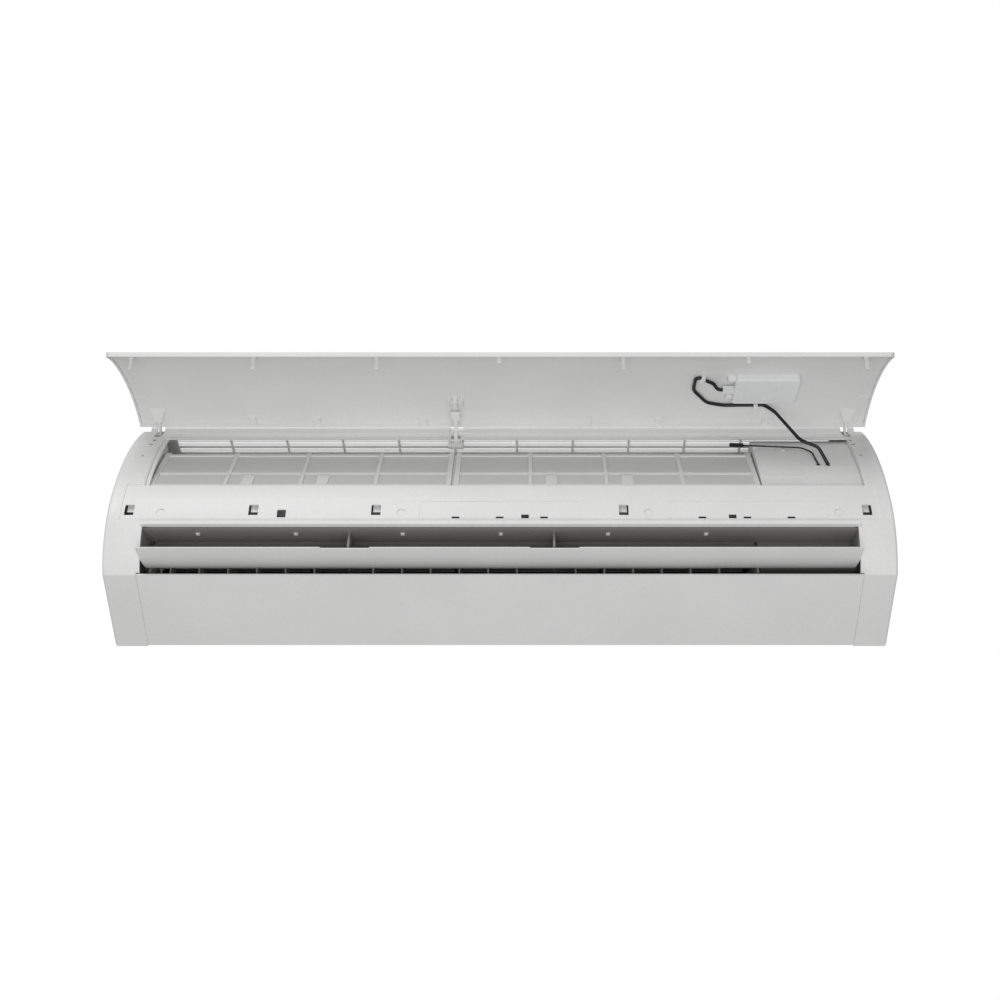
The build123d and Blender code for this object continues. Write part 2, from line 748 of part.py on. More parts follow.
for (left, right), side_name in zip(filter_spans, ("left", "right")):
    column = (right - left) / filter_columns
    with BuildPart() as filter_frame:
        for index in range(filter_columns + 1):
            rib = edge_width if index in (0, filter_columns) else rib_width
            x = min(max(left + index * column - rib / 2, left), right - rib)
            with BuildSketch(side_plane(x)):
                with BuildLine():
                    filter_band(0.0, filter_frame_thick)
                make_face()
            extrude(amount=rib)
        middle_x = (left + right) / 2
        for distance in (0.0,) + front_rails:
            rail = 5.0 if distance == 0.0 else rail_width
            with BuildSketch(filter_plane(middle_x, distance)):
                with Locations((0, filter_frame_thick / 2)):
                    Rectangle(right - left, filter_frame_thick)
            extrude(amount=rail)
        for y in top_rails:
            with BuildSketch(filter_back_plane(middle_x, y)):
                with Locations((0, filter_frame_thick / 2)):
                    Rectangle(right - left, filter_frame_thick)
            extrude(amount=rail_width)
        # Two finger tabs beside the ribs at the foot.
        for index in (1, 2):
            with BuildSketch(filter_plane(left + index * column + 30.0, 4.0)):
                with Locations((0, filter_frame_thick / 2)):
                    Rectangle(tab_size[0], filter_frame_thick)
            extrude(amount=26.0)
    finish(filter_frame.part, f"filter_frame_{side_name}")

    with BuildPart() as filter_net:
        with BuildSketch(side_plane(left + 2.0)):
            with BuildLine():
                filter_band(filter_frame_thick, filter_frame_thick + filter_net_thick)
            make_face()
        extrude(amount=right - left - 4.0)
    finish(filter_net.part, f"filter_net_{side_name}")

guide_near = 3.4
guide_far = 9.0
guide_left = window_left + 0.5
guide_right = motor_wall + 9.0
guide_rails = (5.0, 60.0)
with BuildPart() as filter_guides:
    for left, right in filter_spans:
        column = (right - left) / filter_columns
        for index in range(1, filter_columns):
            with BuildSketch(side_plane(left + index * column - 1.25)):
                with BuildLine():
                    filter_band(guide_near, guide_far)
                make_face()
            extrude(amount=2.5)
    # Strip behind the joint of the two filters.
    with BuildSketch(side_plane((filter_spans[0][1] + filter_spans[1][0]) / 2 - 4.0)):
        with BuildLine():
            filter_band(guide_near, guide_far)
        make_face()
    extrude(amount=8.0)
    # Rails along the guides, the lowest one standing on the sill of the window.
    for distance in guide_rails:
        with BuildSketch(filter_plane((guide_left + guide_right) / 2, distance)):
            with Locations((0, (guide_near + guide_far) / 2)):
                Rectangle(guide_right - guide_left, guide_far - guide_near)
        extrude(amount=3.0)
    with BuildSketch(filter_back_plane((guide_left + guide_right) / 2, -44.0)):
        with Locations((0, (guide_near + guide_far) / 2)):
            Rectangle(guide_right - guide_left, guide_far - guide_near)
    extrude(amount=4.0)
finish(filter_guides.part, "filter_guides")

# ---------------------------------------------------------------- evaporator
coil_slabs = (
    ((-197.0, 122.0), 0.0, 43.0),
    ((-190.6, 179.5), 34.0, 74.0),
    ((-112.0, 271.0), 137.0, 80.0),
)
plate_thick = 1.5
plate_margin = 2.5


def slab_corners(foot, lean, length, margin=0.0):
    """Corners of a slanted slab in the side view, grown by a margin."""
    along = (sin(radians(lean)), cos(radians(lean)))
    inward = (cos(radians(lean)), -sin(radians(lean)))
    corners = []
    for step, depth in ((0, 0), (1, 0), (1, 1), (0, 1)):
        run = -margin if step == 0 else length + margin
        deep = -margin if depth == 0 else coil_thick + margin
        y = foot[0] + run * along[0] + deep * inward[0]
        height = foot[1] + run * along[1] + deep * inward[1]
        corners.append((y, up(height)))
    return corners


with BuildPart() as evaporator_fins:
    for foot, lean, length in coil_slabs:
        with BuildSketch(side_plane(coil_left)):
            with BuildLine():
                Polyline(*slab_corners(foot, lean, length), close=True)
            make_face()
        extrude(amount=coil_right - coil_left)
finish(evaporator_fins.part, "evaporator_fins")

with BuildPart() as evaporator_plates:
    for x in (coil_left - plate_thick, coil_right):
        with BuildSketch(side_plane(x)):
            for foot, lean, length in coil_slabs:
                with BuildLine():
                    Polyline(*slab_corners(foot, lean, length, plate_margin), close=True)
                make_face()
            with BuildLine():
                # Web that joins the middle slab's plate to the rear one.
                upper = slab_corners(*coil_slabs[1])
                rear = slab_corners(*coil_slabs[2])
                Polyline(upper[1], rear[3], rear[0], upper[2], close=True)
            make_face()
        extrude(amount=plate_thick)
finish(evaporator_plates.part, "evaporator_plates")

bend_pitch = 14.0
bend_straight = 0.5

with BuildPart() as evaporator_tubes:
    for side, x in ((-1, coil_left - plate_thick), (1, coil_right + plate_thick)):
        for foot, lean, length in coil_slabs:
            along = (sin(radians(lean)), cos(radians(lean)))
            inward = (cos(radians(lean)), -sin(radians(lean)))
            bends = int(length / (2 * bend_pitch))
            kept = 1 if side > 0 and lean > 90.0 else bends
            for index in range(kept):
                run = (index + 0.5) * length / bends
                deep = coil_thick / 2
                y = foot[0] + run * along[0] + deep * inward[0]
                height = foot[1] + run * along[1] + deep * inward[1]
                bend = Plane(
                    origin=(x, y, up(height)),
                    x_dir=(side, 0, 0),
                    z_dir=(0, inward[0], inward[1]),
                )
                half = bend_pitch / 2
                turn = bend_straight + half
                with BuildLine(bend):
                    Polyline(
                        (0, -half),
                        (turn - half / 2, -half),
                        (turn, -half / 2),
                        (turn, half / 2),
                        (turn - half / 2, half),
                        (0, half),
                    )
                start = bend.from_local_coords((0, -half, 0))
                with BuildSketch(Plane(origin=start, x_dir=(0, *along), z_dir=(side, 0, 0))):
                    RegularPolygon(tube_radius, 8)
                sweep(transition=Transition.RIGHT)
finish(evaporator_tubes.part, "evaporator_tubes")

# ---------------------------------------------------------------- drain pan
spigot_outer = 8.0
spigot_bore = 6.0
spigot_length = 20.0
spigot_root = 8.0
spigot_place = (-172.0, 118.0)
pan_rim = 113.0            # front rim, below the panel's clips

with BuildPart() as drain_pan:
    pan_left = -chassis_half + 3.0
    with BuildSketch(side_plane(pan_left)):
        with BuildLine():
            Polyline(
                (-207.0, up(99.0)),
                (-158.0, up(110.5)),
                (-151.5, up(118.0)),
                (-153.5, up(123.5)),
                (-158.0, up(123.5)),
                (-161.0, up(114.5)),
                (-203.0, up(104.9)),
                (-204.5, up(pan_rim)),
                (-207.0, up(pan_rim)),
                close=True,
            )
        make_face()
    extrude(amount=chassis_half - pan_left)
    # End walls of the trough.
    for x in (pan_left, chassis_half - 2.0):
        with BuildSketch(side_plane(x)):
            with BuildLine():
                Polyline(
                    (-207.0, up(99.0)),
                    (-158.0, up(110.5)),
                    (-158.0, up(123.0)),
                    (-186.0, up(123.0)),
                    (-207.0, up(pan_rim)),
                    close=True,
                )
            make_face()
        extrude(amount=2.0)
    # Spigot for the drain hose, on a thicker root.
    for start, radius, length in (
        (chassis_half - 1.0, spigot_outer + 1.5, spigot_root),
        (chassis_half - 1.0 + spigot_root, spigot_outer, spigot_length),
    ):
        with BuildSketch(side_plane(start)):
            with Locations((spigot_place[0], up(spigot_place[1]))):
                Circle(radius)
        extrude(amount=length)
    with BuildSketch(side_plane(chassis_half - 3.0)):
        with Locations((spigot_place[0], up(spigot_place[1]))):
            Circle(spigot_bore)
    extrude(amount=spigot_root + spigot_length + 4.0, mode=Mode.SUBTRACT)
finish(drain_pan.part, "drain_pan")

# ---------------------------------------------------------------- outlet frame
partition_thick = 3.0
hub_radius = 6.5
strip_low = 0.3
strip_high = 2.3
block_left = motor_wall + wall_sheet + fit_gap
knock_outs = (-mouth_half + 45.0, bay_edges[1] + 16.0, bay_edges[2] - 22.0, motor_wall - 28.0)


def vane_places():
    """X of every vane, bay by bay."""
    return [left + vane_first + index * vane_pitch for left in bay_edges[:3] for index in range(vane_count)]


with BuildPart() as outlet_frame:
    outer_x = mouth_half + 2.7
    with BuildSketch(side_plane(-outer_x)):
        with BuildLine():
            Polyline(
                (-205.0, up(96.5)),
                (-158.0, up(107.5)),
                (-158.0, up(109.5)),
                (-205.0, up(98.5)),
                close=True,
            )
        make_face()
    extrude(amount=2 * outer_x)
    # Rear end of the ceiling, which reaches between the walls of the air path up to the fan.
    strip_left = -chassis_half + wall_sheet + fit_gap
    with BuildSketch(side_plane(strip_left)):
        with BuildLine():
            Polyline(
                (-158.5, up(107.4)),
                (-141.0, up(104.6)),
                (-141.3, up(106.6)),
                (-158.5, up(109.4)),
                close=True,
            )
        make_face()
    extrude(amount=motor_wall - fit_gap - strip_left)
    # Side walls with the louver bearings.
    for x in (-outer_x, mouth_half + 0.2):
        with BuildSketch(side_plane(x)):
            with BuildLine():
                Polyline(
                    (-207.0, up(97.0)),
                    (-195.0, up(70.0)),
                    (-181.0, up(50.0)),
                    (-174.0, up(44.5)),
                    (-168.0, up(48.0)),
                    (-150.0, up(58.0)),
                    (-157.0, up(109.0)),
                    close=True,
                )
            make_face()
            with Locations((-louver_pivot_depth, up(louver_pivot_height))):
                Circle(louver_pin + running_gap, mode=Mode.SUBTRACT)
        extrude(amount=2.5)
    # Partitions between the bays, each with a bearing for the louver.
    for x in bay_edges[1:3]:
        with BuildSketch(side_plane(x - partition_thick / 2)):
            with BuildLine():
                Polyline(
                    (-194.0, up(100.5)),
                    (-194.0, up(76.0)),
                    (-190.5, up(66.0)),
                    (-184.0, up(59.5)),
                    (-172.0, up(67.5)),
                    (-160.0, up(77.0)),
                    (-156.5, up(77.0)),
                    (-156.5, up(53.3)),
                    (-149.0, up(57.4)),
                    (-149.0, up(107.0)),
                    (-158.0, up(108.5)),
                    close=True,
                )
            make_face()
            with Locations((-louver_pivot_depth, up(louver_pivot_height))):
                Circle(hub_radius)
                Circle(louver_pin + running_gap, mode=Mode.SUBTRACT)
        extrude(amount=partition_thick)
    # Strip on the lower wall that carries the vanes and the crank.
    with BuildSketch(floor_plane(strip_left)):
        with Locations((36.0, (strip_low + strip_high) / 2)):
            Rectangle(48.0, strip_high - strip_low)
    extrude(amount=motor_wall - fit_gap - strip_left)
    for x in vane_places():
        with BuildSketch(upright_plane(x, vane_seat, 0.0)):
            Circle(vane_pin + running_gap)
        extrude(amount=4.0, mode=Mode.SUBTRACT)
    with BuildSketch(upright_plane(crank_x, vane_seat, 0.0)):
        Circle(crank_shaft + running_gap)
    extrude(amount=4.0, mode=Mode.SUBTRACT)
    # Closed corner in front of the motors.
    with BuildSketch(side_plane(block_left)):
        with BuildLine():
            Polyline(
                (-165.5, up(48.5)),
                (-158.0, up(52.4)),
                (-158.0, up(108.5)),
                (-155.5, up(108.3)),
                (-155.5, up(50.9)),
                (-165.5, up(45.9)),
                close=True,
            )
        make_face()
    extrude(amount=mouth_half + 0.5 - block_left)
    # Knock-outs in the ceiling.
    for x in knock_outs:
        ceiling = Plane(
            origin=(x, -184.0, up(101.9)),
            x_dir=(1, 0, 0),
            z_dir=(0, sin(atan2(11.0, 47.0)), -cos(atan2(11.0, 47.0))),
        )
        with BuildSketch(ceiling):
            RegularPolygon(4.0, 8)
        extrude(amount=0.8)
finish(outlet_frame.part, "outlet_frame")

# ---------------------------------------------------------------- louver
lug_half = louver_half - 1.5

with BuildPart() as louver:
    with BuildSketch(louver_plane(-louver_half)):
        with BuildLine():
            front_band(louver_low, louver_high, -louver_wall, 0.0, louver_origin)
        make_face()
    extrude(amount=2 * louver_half)
    # Shallow notches in the upper edge in front of the partitions.
    for x in bay_edges[1:3]:
        with BuildSketch(louver_plane(x - 33.0)):
            with BuildLine():
                front_band(louver_high - 2.0, louver_high + 1.0, -6.0, 3.0, louver_origin)
            make_face()
        extrude(amount=66.0, mode=Mode.SUBTRACT)
    # Lugs and pins at the ends and at the partitions.
    lug_places = [(-lug_half, 3.0), (lug_half, 3.0)]
    for x in bay_edges[1:3]:
        lug_places += [(x - 3.8, 2.5), (x + 3.8, 2.5)]
    for x, thick in lug_places:
        with BuildSketch(louver_plane(x - thick / 2)):
            Circle(5.0)
            with BuildLine():
                outer = [front_point(height, -1.5, louver_origin) for height in (58.0, 74.0)]
                Polyline((3.5, -3.5), outer[0], outer[1], (-3.5, 3.5), close=True)
            make_face()
        extrude(amount=thick)
    pin_ends = [(-mouth_half - 2.6, -lug_half), (lug_half, mouth_half + 8.0)]
    pin_ends += [(x - 4.0, x + 4.0) for x in bay_edges[1:3]]
    for start, end in pin_ends:
        with BuildSketch(louver_plane(start)):
            Circle(louver_pin)
        extrude(amount=end - start)
finish(louver.part, "louver")

# ---------------------------------------------------------------- upright vanes, their link and their crank
notch_low = link_level - 2.0
notch_high = link_level + 2.0
vane_foot = strip_high + 0.4

for number, x in enumerate(vane_places(), start=1):
    with BuildPart() as vane:
        with BuildSketch(floor_plane(x - vane_thick / 2)):
            with BuildLine():
                Polyline(
                    (vane_seat - vane_front, vane_foot),
                    (vane_seat - vane_front, vane_tall - 2.0),
                    (vane_seat - vane_front + 2.0, vane_tall),
                    (vane_seat - 4.0, vane_tall),
                    (vane_seat + vane_rear, vane_short),
                    (vane_seat + vane_rear, notch_high),
                    (vane_seat + 4.0, notch_high),
                    (vane_seat + 4.0, notch_low),
                    (vane_seat + vane_rear, notch_low),
                    (vane_seat + vane_rear, vane_foot),
                    close=True,
                )
            make_face()
        extrude(amount=vane_thick)
        with BuildSketch(upright_plane(x, vane_seat, strip_low + 0.3)):
            Circle(vane_pin)
        extrude(amount=3.0)
        with BuildSketch(upright_plane(x, vane_seat + link_arm, notch_low - 0.5)):
            Circle(link_pin)
        extrude(amount=notch_high - notch_low + 1.0)
    finish(vane.part, f"vane_{number:02d}")

with BuildPart() as vane_crank:
    with BuildSketch(upright_plane(crank_x, vane_seat, notch_low - 2.5)):
        with Locations((0, link_arm / 2)):
            SlotCenterToCenter(link_arm, 6.0, rotation=90)
    extrude(amount=3.0)
    with BuildSketch(upright_plane(crank_x, vane_seat, -6.0)):
        Circle(crank_shaft)
    extrude(amount=notch_low + 4.5)
    with BuildSketch(upright_plane(crank_x, vane_seat + link_arm, notch_low)):
        Circle(link_pin)
    extrude(amount=4.0)
finish(vane_crank.part, "vane_crank")

link_front = vane_seat + 5.0
link_rear = vane_seat + 13.0
slot_half = 1.5

with BuildPart() as vane_link:
    link_start = crank_x - 3.3
    link_end = vane_places()[-1] + 4.5
    with BuildSketch(floor_plane(link_start)):
        with Locations(((link_front + link_rear) / 2, link_level)):
            Rectangle(link_rear - link_front, link_thick)
    extrude(amount=link_end - link_start)
    for x in [crank_x] + vane_places():
        with BuildSketch(upright_plane(x, vane_seat + link_arm - 0.6, link_level - 2.0)):
            Rectangle(2 * slot_half, 4.2)
        extrude(amount=4.0, mode=Mode.SUBTRACT)
finish(vane_link.part, "vane_link")

# ---------------------------------------------------------------- swing motors
stepper_radius = 12.0
louver_motor = (-177.0, 70.0)

with BuildPart() as swing_motors:
    with BuildSketch(upright_plane(crank_x, vane_seat, -17.5)):
        Circle(stepper_radius)
    extrude(amount=17.5 - wall_sheet)
    with BuildSketch(upright_plane(crank_x, vane_seat, -7.0)):
        Circle(crank_shaft + running_gap)
    extrude(amount=6.0, mode=Mode.SUBTRACT)
    with BuildSketch(side_plane(mouth_half + 3.0)):
        with Locations((louver_motor[0], up(louver_motor[1]))):
            Circle(stepper_radius)
        with Locations((-louver_pivot_depth, up(louver_pivot_height))):
            Circle(louver_pin + running_gap, mode=Mode.SUBTRACT)
    extrude(amount=19.0)
finish(swing_motors.part, "swing_motors")

# ---------------------------------------------------------------- fan, shafts, bearing and motor
fan_blades = 24
blade_thick = 1.4
blade_inner = 38.0
blade_lean = 16.0
disc_thick = 2.5
fan_sections = 4
shaft_radius = 4.0
bore_depth = 8.0
seat_flange = 14.5
motor_left = motor_wall + 7.0
motor_right = motor_left + 90.0
motor_radius = 43.0

with BuildPart() as cross_flow_fan:
    section = (fan_right - fan_left - disc_thick) / fan_sections
    with BuildSketch(side_plane(fan_left)):
        with Locations((fan_axis[0], up(fan_axis[1]))):
            with PolarLocations(fan_radius - 0.6, fan_blades):
                with Locations(Rotation(0, 0, blade_lean)):
                    with Locations((-(fan_radius - blade_inner) / 2, 0)):
                        Rectangle(fan_radius - blade_inner, blade_thick)
    extrude(amount=fan_right - fan_left)
    for index in range(fan_sections + 1):
        with BuildSketch(side_plane(fan_left + index * section)):
            with Locations((fan_axis[0], up(fan_axis[1]))):
                Circle(fan_radius)
                if 0 < index < fan_sections:
                    Circle(blade_inner - 3.0, mode=Mode.SUBTRACT)
        extrude(amount=disc_thick)
    # Hubs for the shafts inside the end discs.
    for x, step in ((fan_left, 12.0), (fan_right - 12.0, 12.0)):
        with BuildSketch(side_plane(x)):
            with Locations((fan_axis[0], up(fan_axis[1]))):
                Circle(9.0)
        extrude(amount=step)
    for x in (fan_left, fan_right - bore_depth):
        with BuildSketch(side_plane(x)):
            with Locations((fan_axis[0], up(fan_axis[1]))):
                Circle(shaft_radius + running_gap)
        extrude(amount=bore_depth, mode=Mode.SUBTRACT)
finish(cross_flow_fan.part, "cross_flow_fan")

with BuildPart() as fan_shafts:
    for start, end in (
        (fan_left - 22.0, fan_left + bore_depth),
        (fan_right - bore_depth, motor_left + 30.0),
    ):
        with BuildSketch(side_plane(start)):
            with Locations((fan_axis[0], up(fan_axis[1]))):
                Circle(shaft_radius)
        extrude(amount=end - start)
finish(fan_shafts.part, "fan_shafts")

with BuildPart() as bearing_seat:
    for start, radius, length in (
        (-chassis_half - 3.0, seat_flange, 3.0),
        (-chassis_half, bearing_hole - running_gap, wall_sheet + 1.5),
    ):
        with BuildSketch(side_plane(start)):
            with Locations((fan_axis[0], up(fan_axis[1]))):
                Circle(radius)
                Circle(shaft_radius + running_gap, mode=Mode.SUBTRACT)
        extrude(amount=length)
finish(bearing_seat.part, "bearing_seat")

with BuildPart() as fan_motor:
    for start, radius, length in (
        (motor_left, motor_radius, motor_right - motor_left),
        (motor_left - 3.0, 15.0, 3.0),
        (motor_right, 15.0, 4.0),
    ):
        with BuildSketch(side_plane(start)):
            with Locations((fan_axis[0], up(fan_axis[1]))):
                Circle(radius)
        extrude(amount=length)
    with BuildSketch(side_plane(motor_left - 3.0)):
        with Locations((fan_axis[0], up(fan_axis[1]))):
            Circle(shaft_radius + running_gap)
    extrude(amount=35.0, mode=Mode.SUBTRACT)
finish(fan_motor.part, "fan_motor")

clamp_left = motor_left + 30.0
clamp_width = 30.0

with BuildPart() as motor_clamp:
    with BuildSketch(side_plane(clamp_left)):
        with Locations((fan_axis[0], up(fan_axis[1]))):
            Circle(motor_radius + 3.0)
        with BuildLine():
            Polyline(
                (-70.0, up(fan_height - 8.0)),
                (back_y - wall_sheet, up(fan_height - 8.0)),
                (back_y - wall_sheet, up(fan_height + 8.0)),
                (-70.0, up(fan_height + 8.0)),
                close=True,
            )
        make_face()
        with Locations((fan_axis[0], up(fan_axis[1]))):
            Circle(motor_radius, mode=Mode.SUBTRACT)
    extrude(amount=clamp_width)
finish(motor_clamp.part, "motor_clamp")

# ---------------------------------------------------------------- control box
box_left = motor_wall + 17.0
box_right = window_right - 8.0
box_front = -160.0
box_back = -115.0
box_low = 196.0
box_high = 285.0
box_wall = 2.0
board_y = -135.0

with BuildPart() as control_box:
    box_x = (box_left + box_right) / 2
    box_y = (box_front + box_back) / 2
    box_middle = (box_low + box_high) / 2
    with Locations((box_x, box_y, up(box_middle))):
        Box(box_right - box_left, box_back - box_front, box_high - box_low)
    with Locations((box_x, box_y - box_wall, up(box_middle))):
        Box(
            box_right - box_left - 2 * box_wall,
            box_back - box_front,
            box_high - box_low - 2 * box_wall,
            mode=Mode.SUBTRACT,
        )
    # Legs to the back wall and posts for the board.
    legs = (box_left + 20.0, box_right - 20.0)
    with Locations(*[(x, (back_y - wall_sheet + box_back) / 2, up(267.0)) for x in legs]):
        Box(2.0, -box_back + back_y - wall_sheet, 28.0)
    post = (box_back - box_wall) - (board_y + 1.6)
    with Locations(*[(x, board_y + 1.6 + post / 2, up(box_middle)) for x in (box_left + 18.0, box_right - 18.0)]):
        Box(6.0, post, 50.0)
finish(control_box.part, "control_box")

with BuildPart() as control_board:
    with Locations((box_x, board_y + 0.8, up(box_middle))):
        Box(112.0, 1.6, 74.0)
    for x, height, size in ((-36.0, 225.0, 18.0), (-6.0, 260.0, 22.0), (32.0, 250.0, 14.0)):
        with Locations((box_x + x, board_y - size / 4, up(height))):
            Box(size, size / 2, size)
finish(control_board.part, "control_board")

with BuildPart() as terminal_block:
    with Locations((box_x + 14.0, board_y - 7.0, up(218.0))):
        Box(60.0, 14.0, 18.0)
    for index in range(5):
        with Locations((box_x - 10.0 + index * 12.0, board_y - 14.0, up(218.0))):
            Box(8.0, 6.0, 8.0, mode=Mode.SUBTRACT)
finish(terminal_block.part, "terminal_block")

wire_radius = 1.2
wire_out = -4.6            # middle of the sensor's lead, behind the face of the frame
shield_outer = -8.0
shield_inner = -10.5
shield_left = motor_wall + 11.3
shield_right = window_right - 0.5
shield_field = 78.5        # width of the raised field at the right end

with BuildPart() as control_box_cover:
    with BuildSketch(side_plane(shield_left)):
        with BuildLine():
            front_band(window_low, window_high + 3.0, shield_inner, shield_outer, ground)
        make_face()
    extrude(amount=shield_right - shield_left)
    # Raised field on the right and sunken corner on the left.
    with BuildSketch(side_plane(shield_right - shield_field)):
        with BuildLine():
            front_band(window_low + 3.0, 211.0, shield_outer - 0.5, shield_outer + 1.2, ground)
        make_face()
    extrude(amount=shield_field - 5.0)
    with BuildSketch(side_plane(shield_left + 4.0)):
        with BuildLine():
            front_band(window_low + 3.0, 187.0, shield_outer - 1.0, shield_outer + 2.0, ground)
        make_face()
    extrude(amount=56.0, mode=Mode.SUBTRACT)
    # Side wall beside the right filter.
    with BuildSketch(side_plane(shield_left)):
        with BuildLine():
            front_band(window_low, window_high + 3.0, -24.0, shield_outer - 0.5, ground)
        make_face()
    extrude(amount=1.8)
    # Clips for the sensor and its lead, and holes where the leads go in.
    for x, low, wide in (
        (shield_left, 257.0, 5.0),
        (shield_left + 40.0, 250.0, 6.0),
    ):
        with BuildSketch(side_plane(x)):
            with BuildLine():
                front_band(low, low + 7.0, shield_outer - 0.5, wire_out - wire_radius - fit_gap, ground)
            make_face()
        extrude(amount=wide)
    for x, height in lead_holes:
        with Locations(Location((x, front_y(height), up(height)), (90, 0, 0))):
            Cylinder(3.4, 60.0, mode=Mode.SUBTRACT)
finish(control_box_cover.part, "control_box_cover")

# ---------------------------------------------------------------- front panel
clip_places = (-(frame_half - 17.2), -340.4, -170.4, 168.9, frame_half - 22.2)
short_clips = (-1.9, 340.3)
clip_width = 5.0
clip_reach = -12.8
short_reach = -5.5
clip_low = 117.5
clip_high = 122.5
panel_inner = panel_stand - panel_wall
arm_thick = 3.0
corner_round = 7.0
tab_places = (-372.0, -276.0, -118.0, 137.0, 232.0, 391.0)
bracket_height = 249.5
bracket_depth = 9.5


def panel_point(x, height, out):
    """Place on the open panel of a point given as if the panel were closed."""
    y = front_y(height, out) + hinge_depth
    rise = height - hinge_height
    turn = radians(panel_opening)
    return Vector(
        x,
        y * cos(turn) + rise * sin(turn) - hinge_depth,
        up(-y * sin(turn) + rise * cos(turn) + hinge_height),
    )


def panel_tangent(x, height, out):
    """Plane touching the open panel, its Z pointing away from the unit."""
    radius = upper_radius if height > nose_height else lower_radius
    lean = asin((height - nose_height) / radius) + radians(panel_opening)
    return Plane(origin=panel_point(x, height, out), x_dir=(1, 0, 0), z_dir=(0, -cos(lean), sin(lean)))


with BuildPart() as front_panel:
    with BuildSketch(panel_plane(-panel_width / 2)):
        with BuildLine():
            front_band(panel_low, panel_high, panel_inner, panel_stand, hinge_origin)
        make_face()
    extrude(amount=panel_width)
    # Rims along the lower edge, the upper edge and the sides.
    with BuildSketch(panel_plane(-panel_width / 2)):
        with BuildLine():
            front_band(panel_low, panel_low + panel_wall, panel_rim_gap, panel_stand - 1.0, hinge_origin)
        make_face()
        with BuildLine():
            front_band(panel_high - 2.0, panel_high, hinge_rim, panel_stand - 1.0, hinge_origin)
        make_face()
    extrude(amount=panel_width)
    for x in (-panel_width / 2, panel_width / 2 - panel_wall):
        with BuildSketch(panel_plane(x)):
            with BuildLine():
                front_band(panel_low, panel_high, panel_rim_gap, panel_stand - 1.0, hinge_origin)
            make_face()
        extrude(amount=panel_wall)
    # Catches that enter the latch windows, each with a barb and two gussets, and two plain short ones.
    for x in clip_places + short_clips:
        long_clip = x in clip_places
        foot = clip_low if long_clip else slot_low + 0.6
        tip = clip_reach if long_clip else short_reach
        with BuildSketch(panel_plane(x - clip_width / 2)):
            with BuildLine():
                front_band(foot, foot + 2.0, tip, panel_inner + 1.0, hinge_origin)
            make_face()
            if long_clip:
                with BuildLine():
                    front_band(foot - 1.2, foot + 0.5, tip, tip + 2.5, hinge_origin)
                make_face()
        extrude(amount=clip_width)
        for side in (-1, 1):
            with BuildSketch(panel_plane(x + side * clip_width / 2 - 0.6)):
                with BuildLine():
                    front_band(foot, foot + 7.0, panel_inner - 4.0, panel_inner + 1.0, hinge_origin)
                make_face()
            extrude(amount=1.2)
    # Arms that reach into the frame, with the hinge pins.
    for side in (-1, 1):
        near_x = side * (hinge_places[1] - arm_thick / 2)
        far_x = side * (hinge_places[1] + arm_thick / 2)
        with BuildSketch(panel_plane(min(near_x, far_x))):
            Circle(5.0)
            with BuildLine():
                Polyline(
                    (-3.5, -3.5),
                    front_point(panel_high - 26.0, panel_inner + 1.0, hinge_origin),
                    front_point(panel_high - 4.0, panel_inner + 1.0, hinge_origin),
                    (-3.5, 3.5),
                    close=True,
                )
            make_face()
        extrude(amount=arm_thick)
        pin_far = side * (hinge_places[1] + hinge_slot / 2 + 3.5)
        with BuildSketch(panel_plane(min(far_x, pin_far))):
            Circle(hinge_pin)
        extrude(amount=abs(pin_far - far_x))
        # Tapered web across the arm, wide at the panel.
        root = Vector(*front_point(panel_high - 27.0, panel_inner + 1.0, hinge_origin))
        tip = Vector(*front_point(panel_high - 9.0, 0.9, hinge_origin))
        way = (tip - root).normalized()
        web = panel_plane(side * hinge_places[1])
        web_plane = Plane(
            origin=web.from_local_coords((root.X, root.Y, 0)),
            x_dir=(1, 0, 0),
            z_dir=web.x_dir * way.Y - web.y_dir * way.X,
        )
        along = 1 if web_plane.y_dir.dot(web.x_dir * way.X + web.y_dir * way.Y) > 0 else -1
        run = along * (tip - root).length
        with BuildSketch(web_plane):
            with BuildLine():
                Polyline((-12.5, 0), (12.5, 0), (4.0, run), (-4.0, run), close=True)
            make_face()
        extrude(amount=0.8, both=True)
    # Tabs near the hinge edge, two low ribs, the bracket of the prop and the seats of the module.
    for x in tab_places:
        with BuildSketch(panel_plane(x - 5.0)):
            with BuildLine():
                front_band(panel_high - 12.0, panel_high - 1.0, hinge_rim + 0.4, panel_inner + 1.0, hinge_origin)
            make_face()
        extrude(amount=10.0)
    for side in (-1, 1):
        rib_x = side * (panel_width / 2 - panel_wall - 8.0)
        with BuildSketch(panel_plane(rib_x - 8.0)):
            with BuildLine():
                front_band(241.0, 243.0, panel_inner - 1.0, panel_inner + 1.0, hinge_origin)
            make_face()
        extrude(amount=16.0)
    for x, wide, low, high, deep in (
        (prop_place - 3.0, 6.0, -9.0, 6.5, bracket_depth),
        (prop_place - 11.0, 3.0, -6.0, 6.0, bracket_depth - 3.0),
        (prop_place + 8.0, 3.0, -6.0, 6.0, bracket_depth - 3.0),
        (prop_place - 11.0, 22.0, 0.5, 3.5, bracket_depth - 4.5),
    ):
        with BuildSketch(panel_plane(x)):
            with BuildLine():
                front_band(
                    bracket_height + low,
                    bracket_height + high,
                    panel_inner - deep,
                    panel_inner + 1.0,
                    hinge_origin,
                )
            make_face()
        extrude(amount=wide)
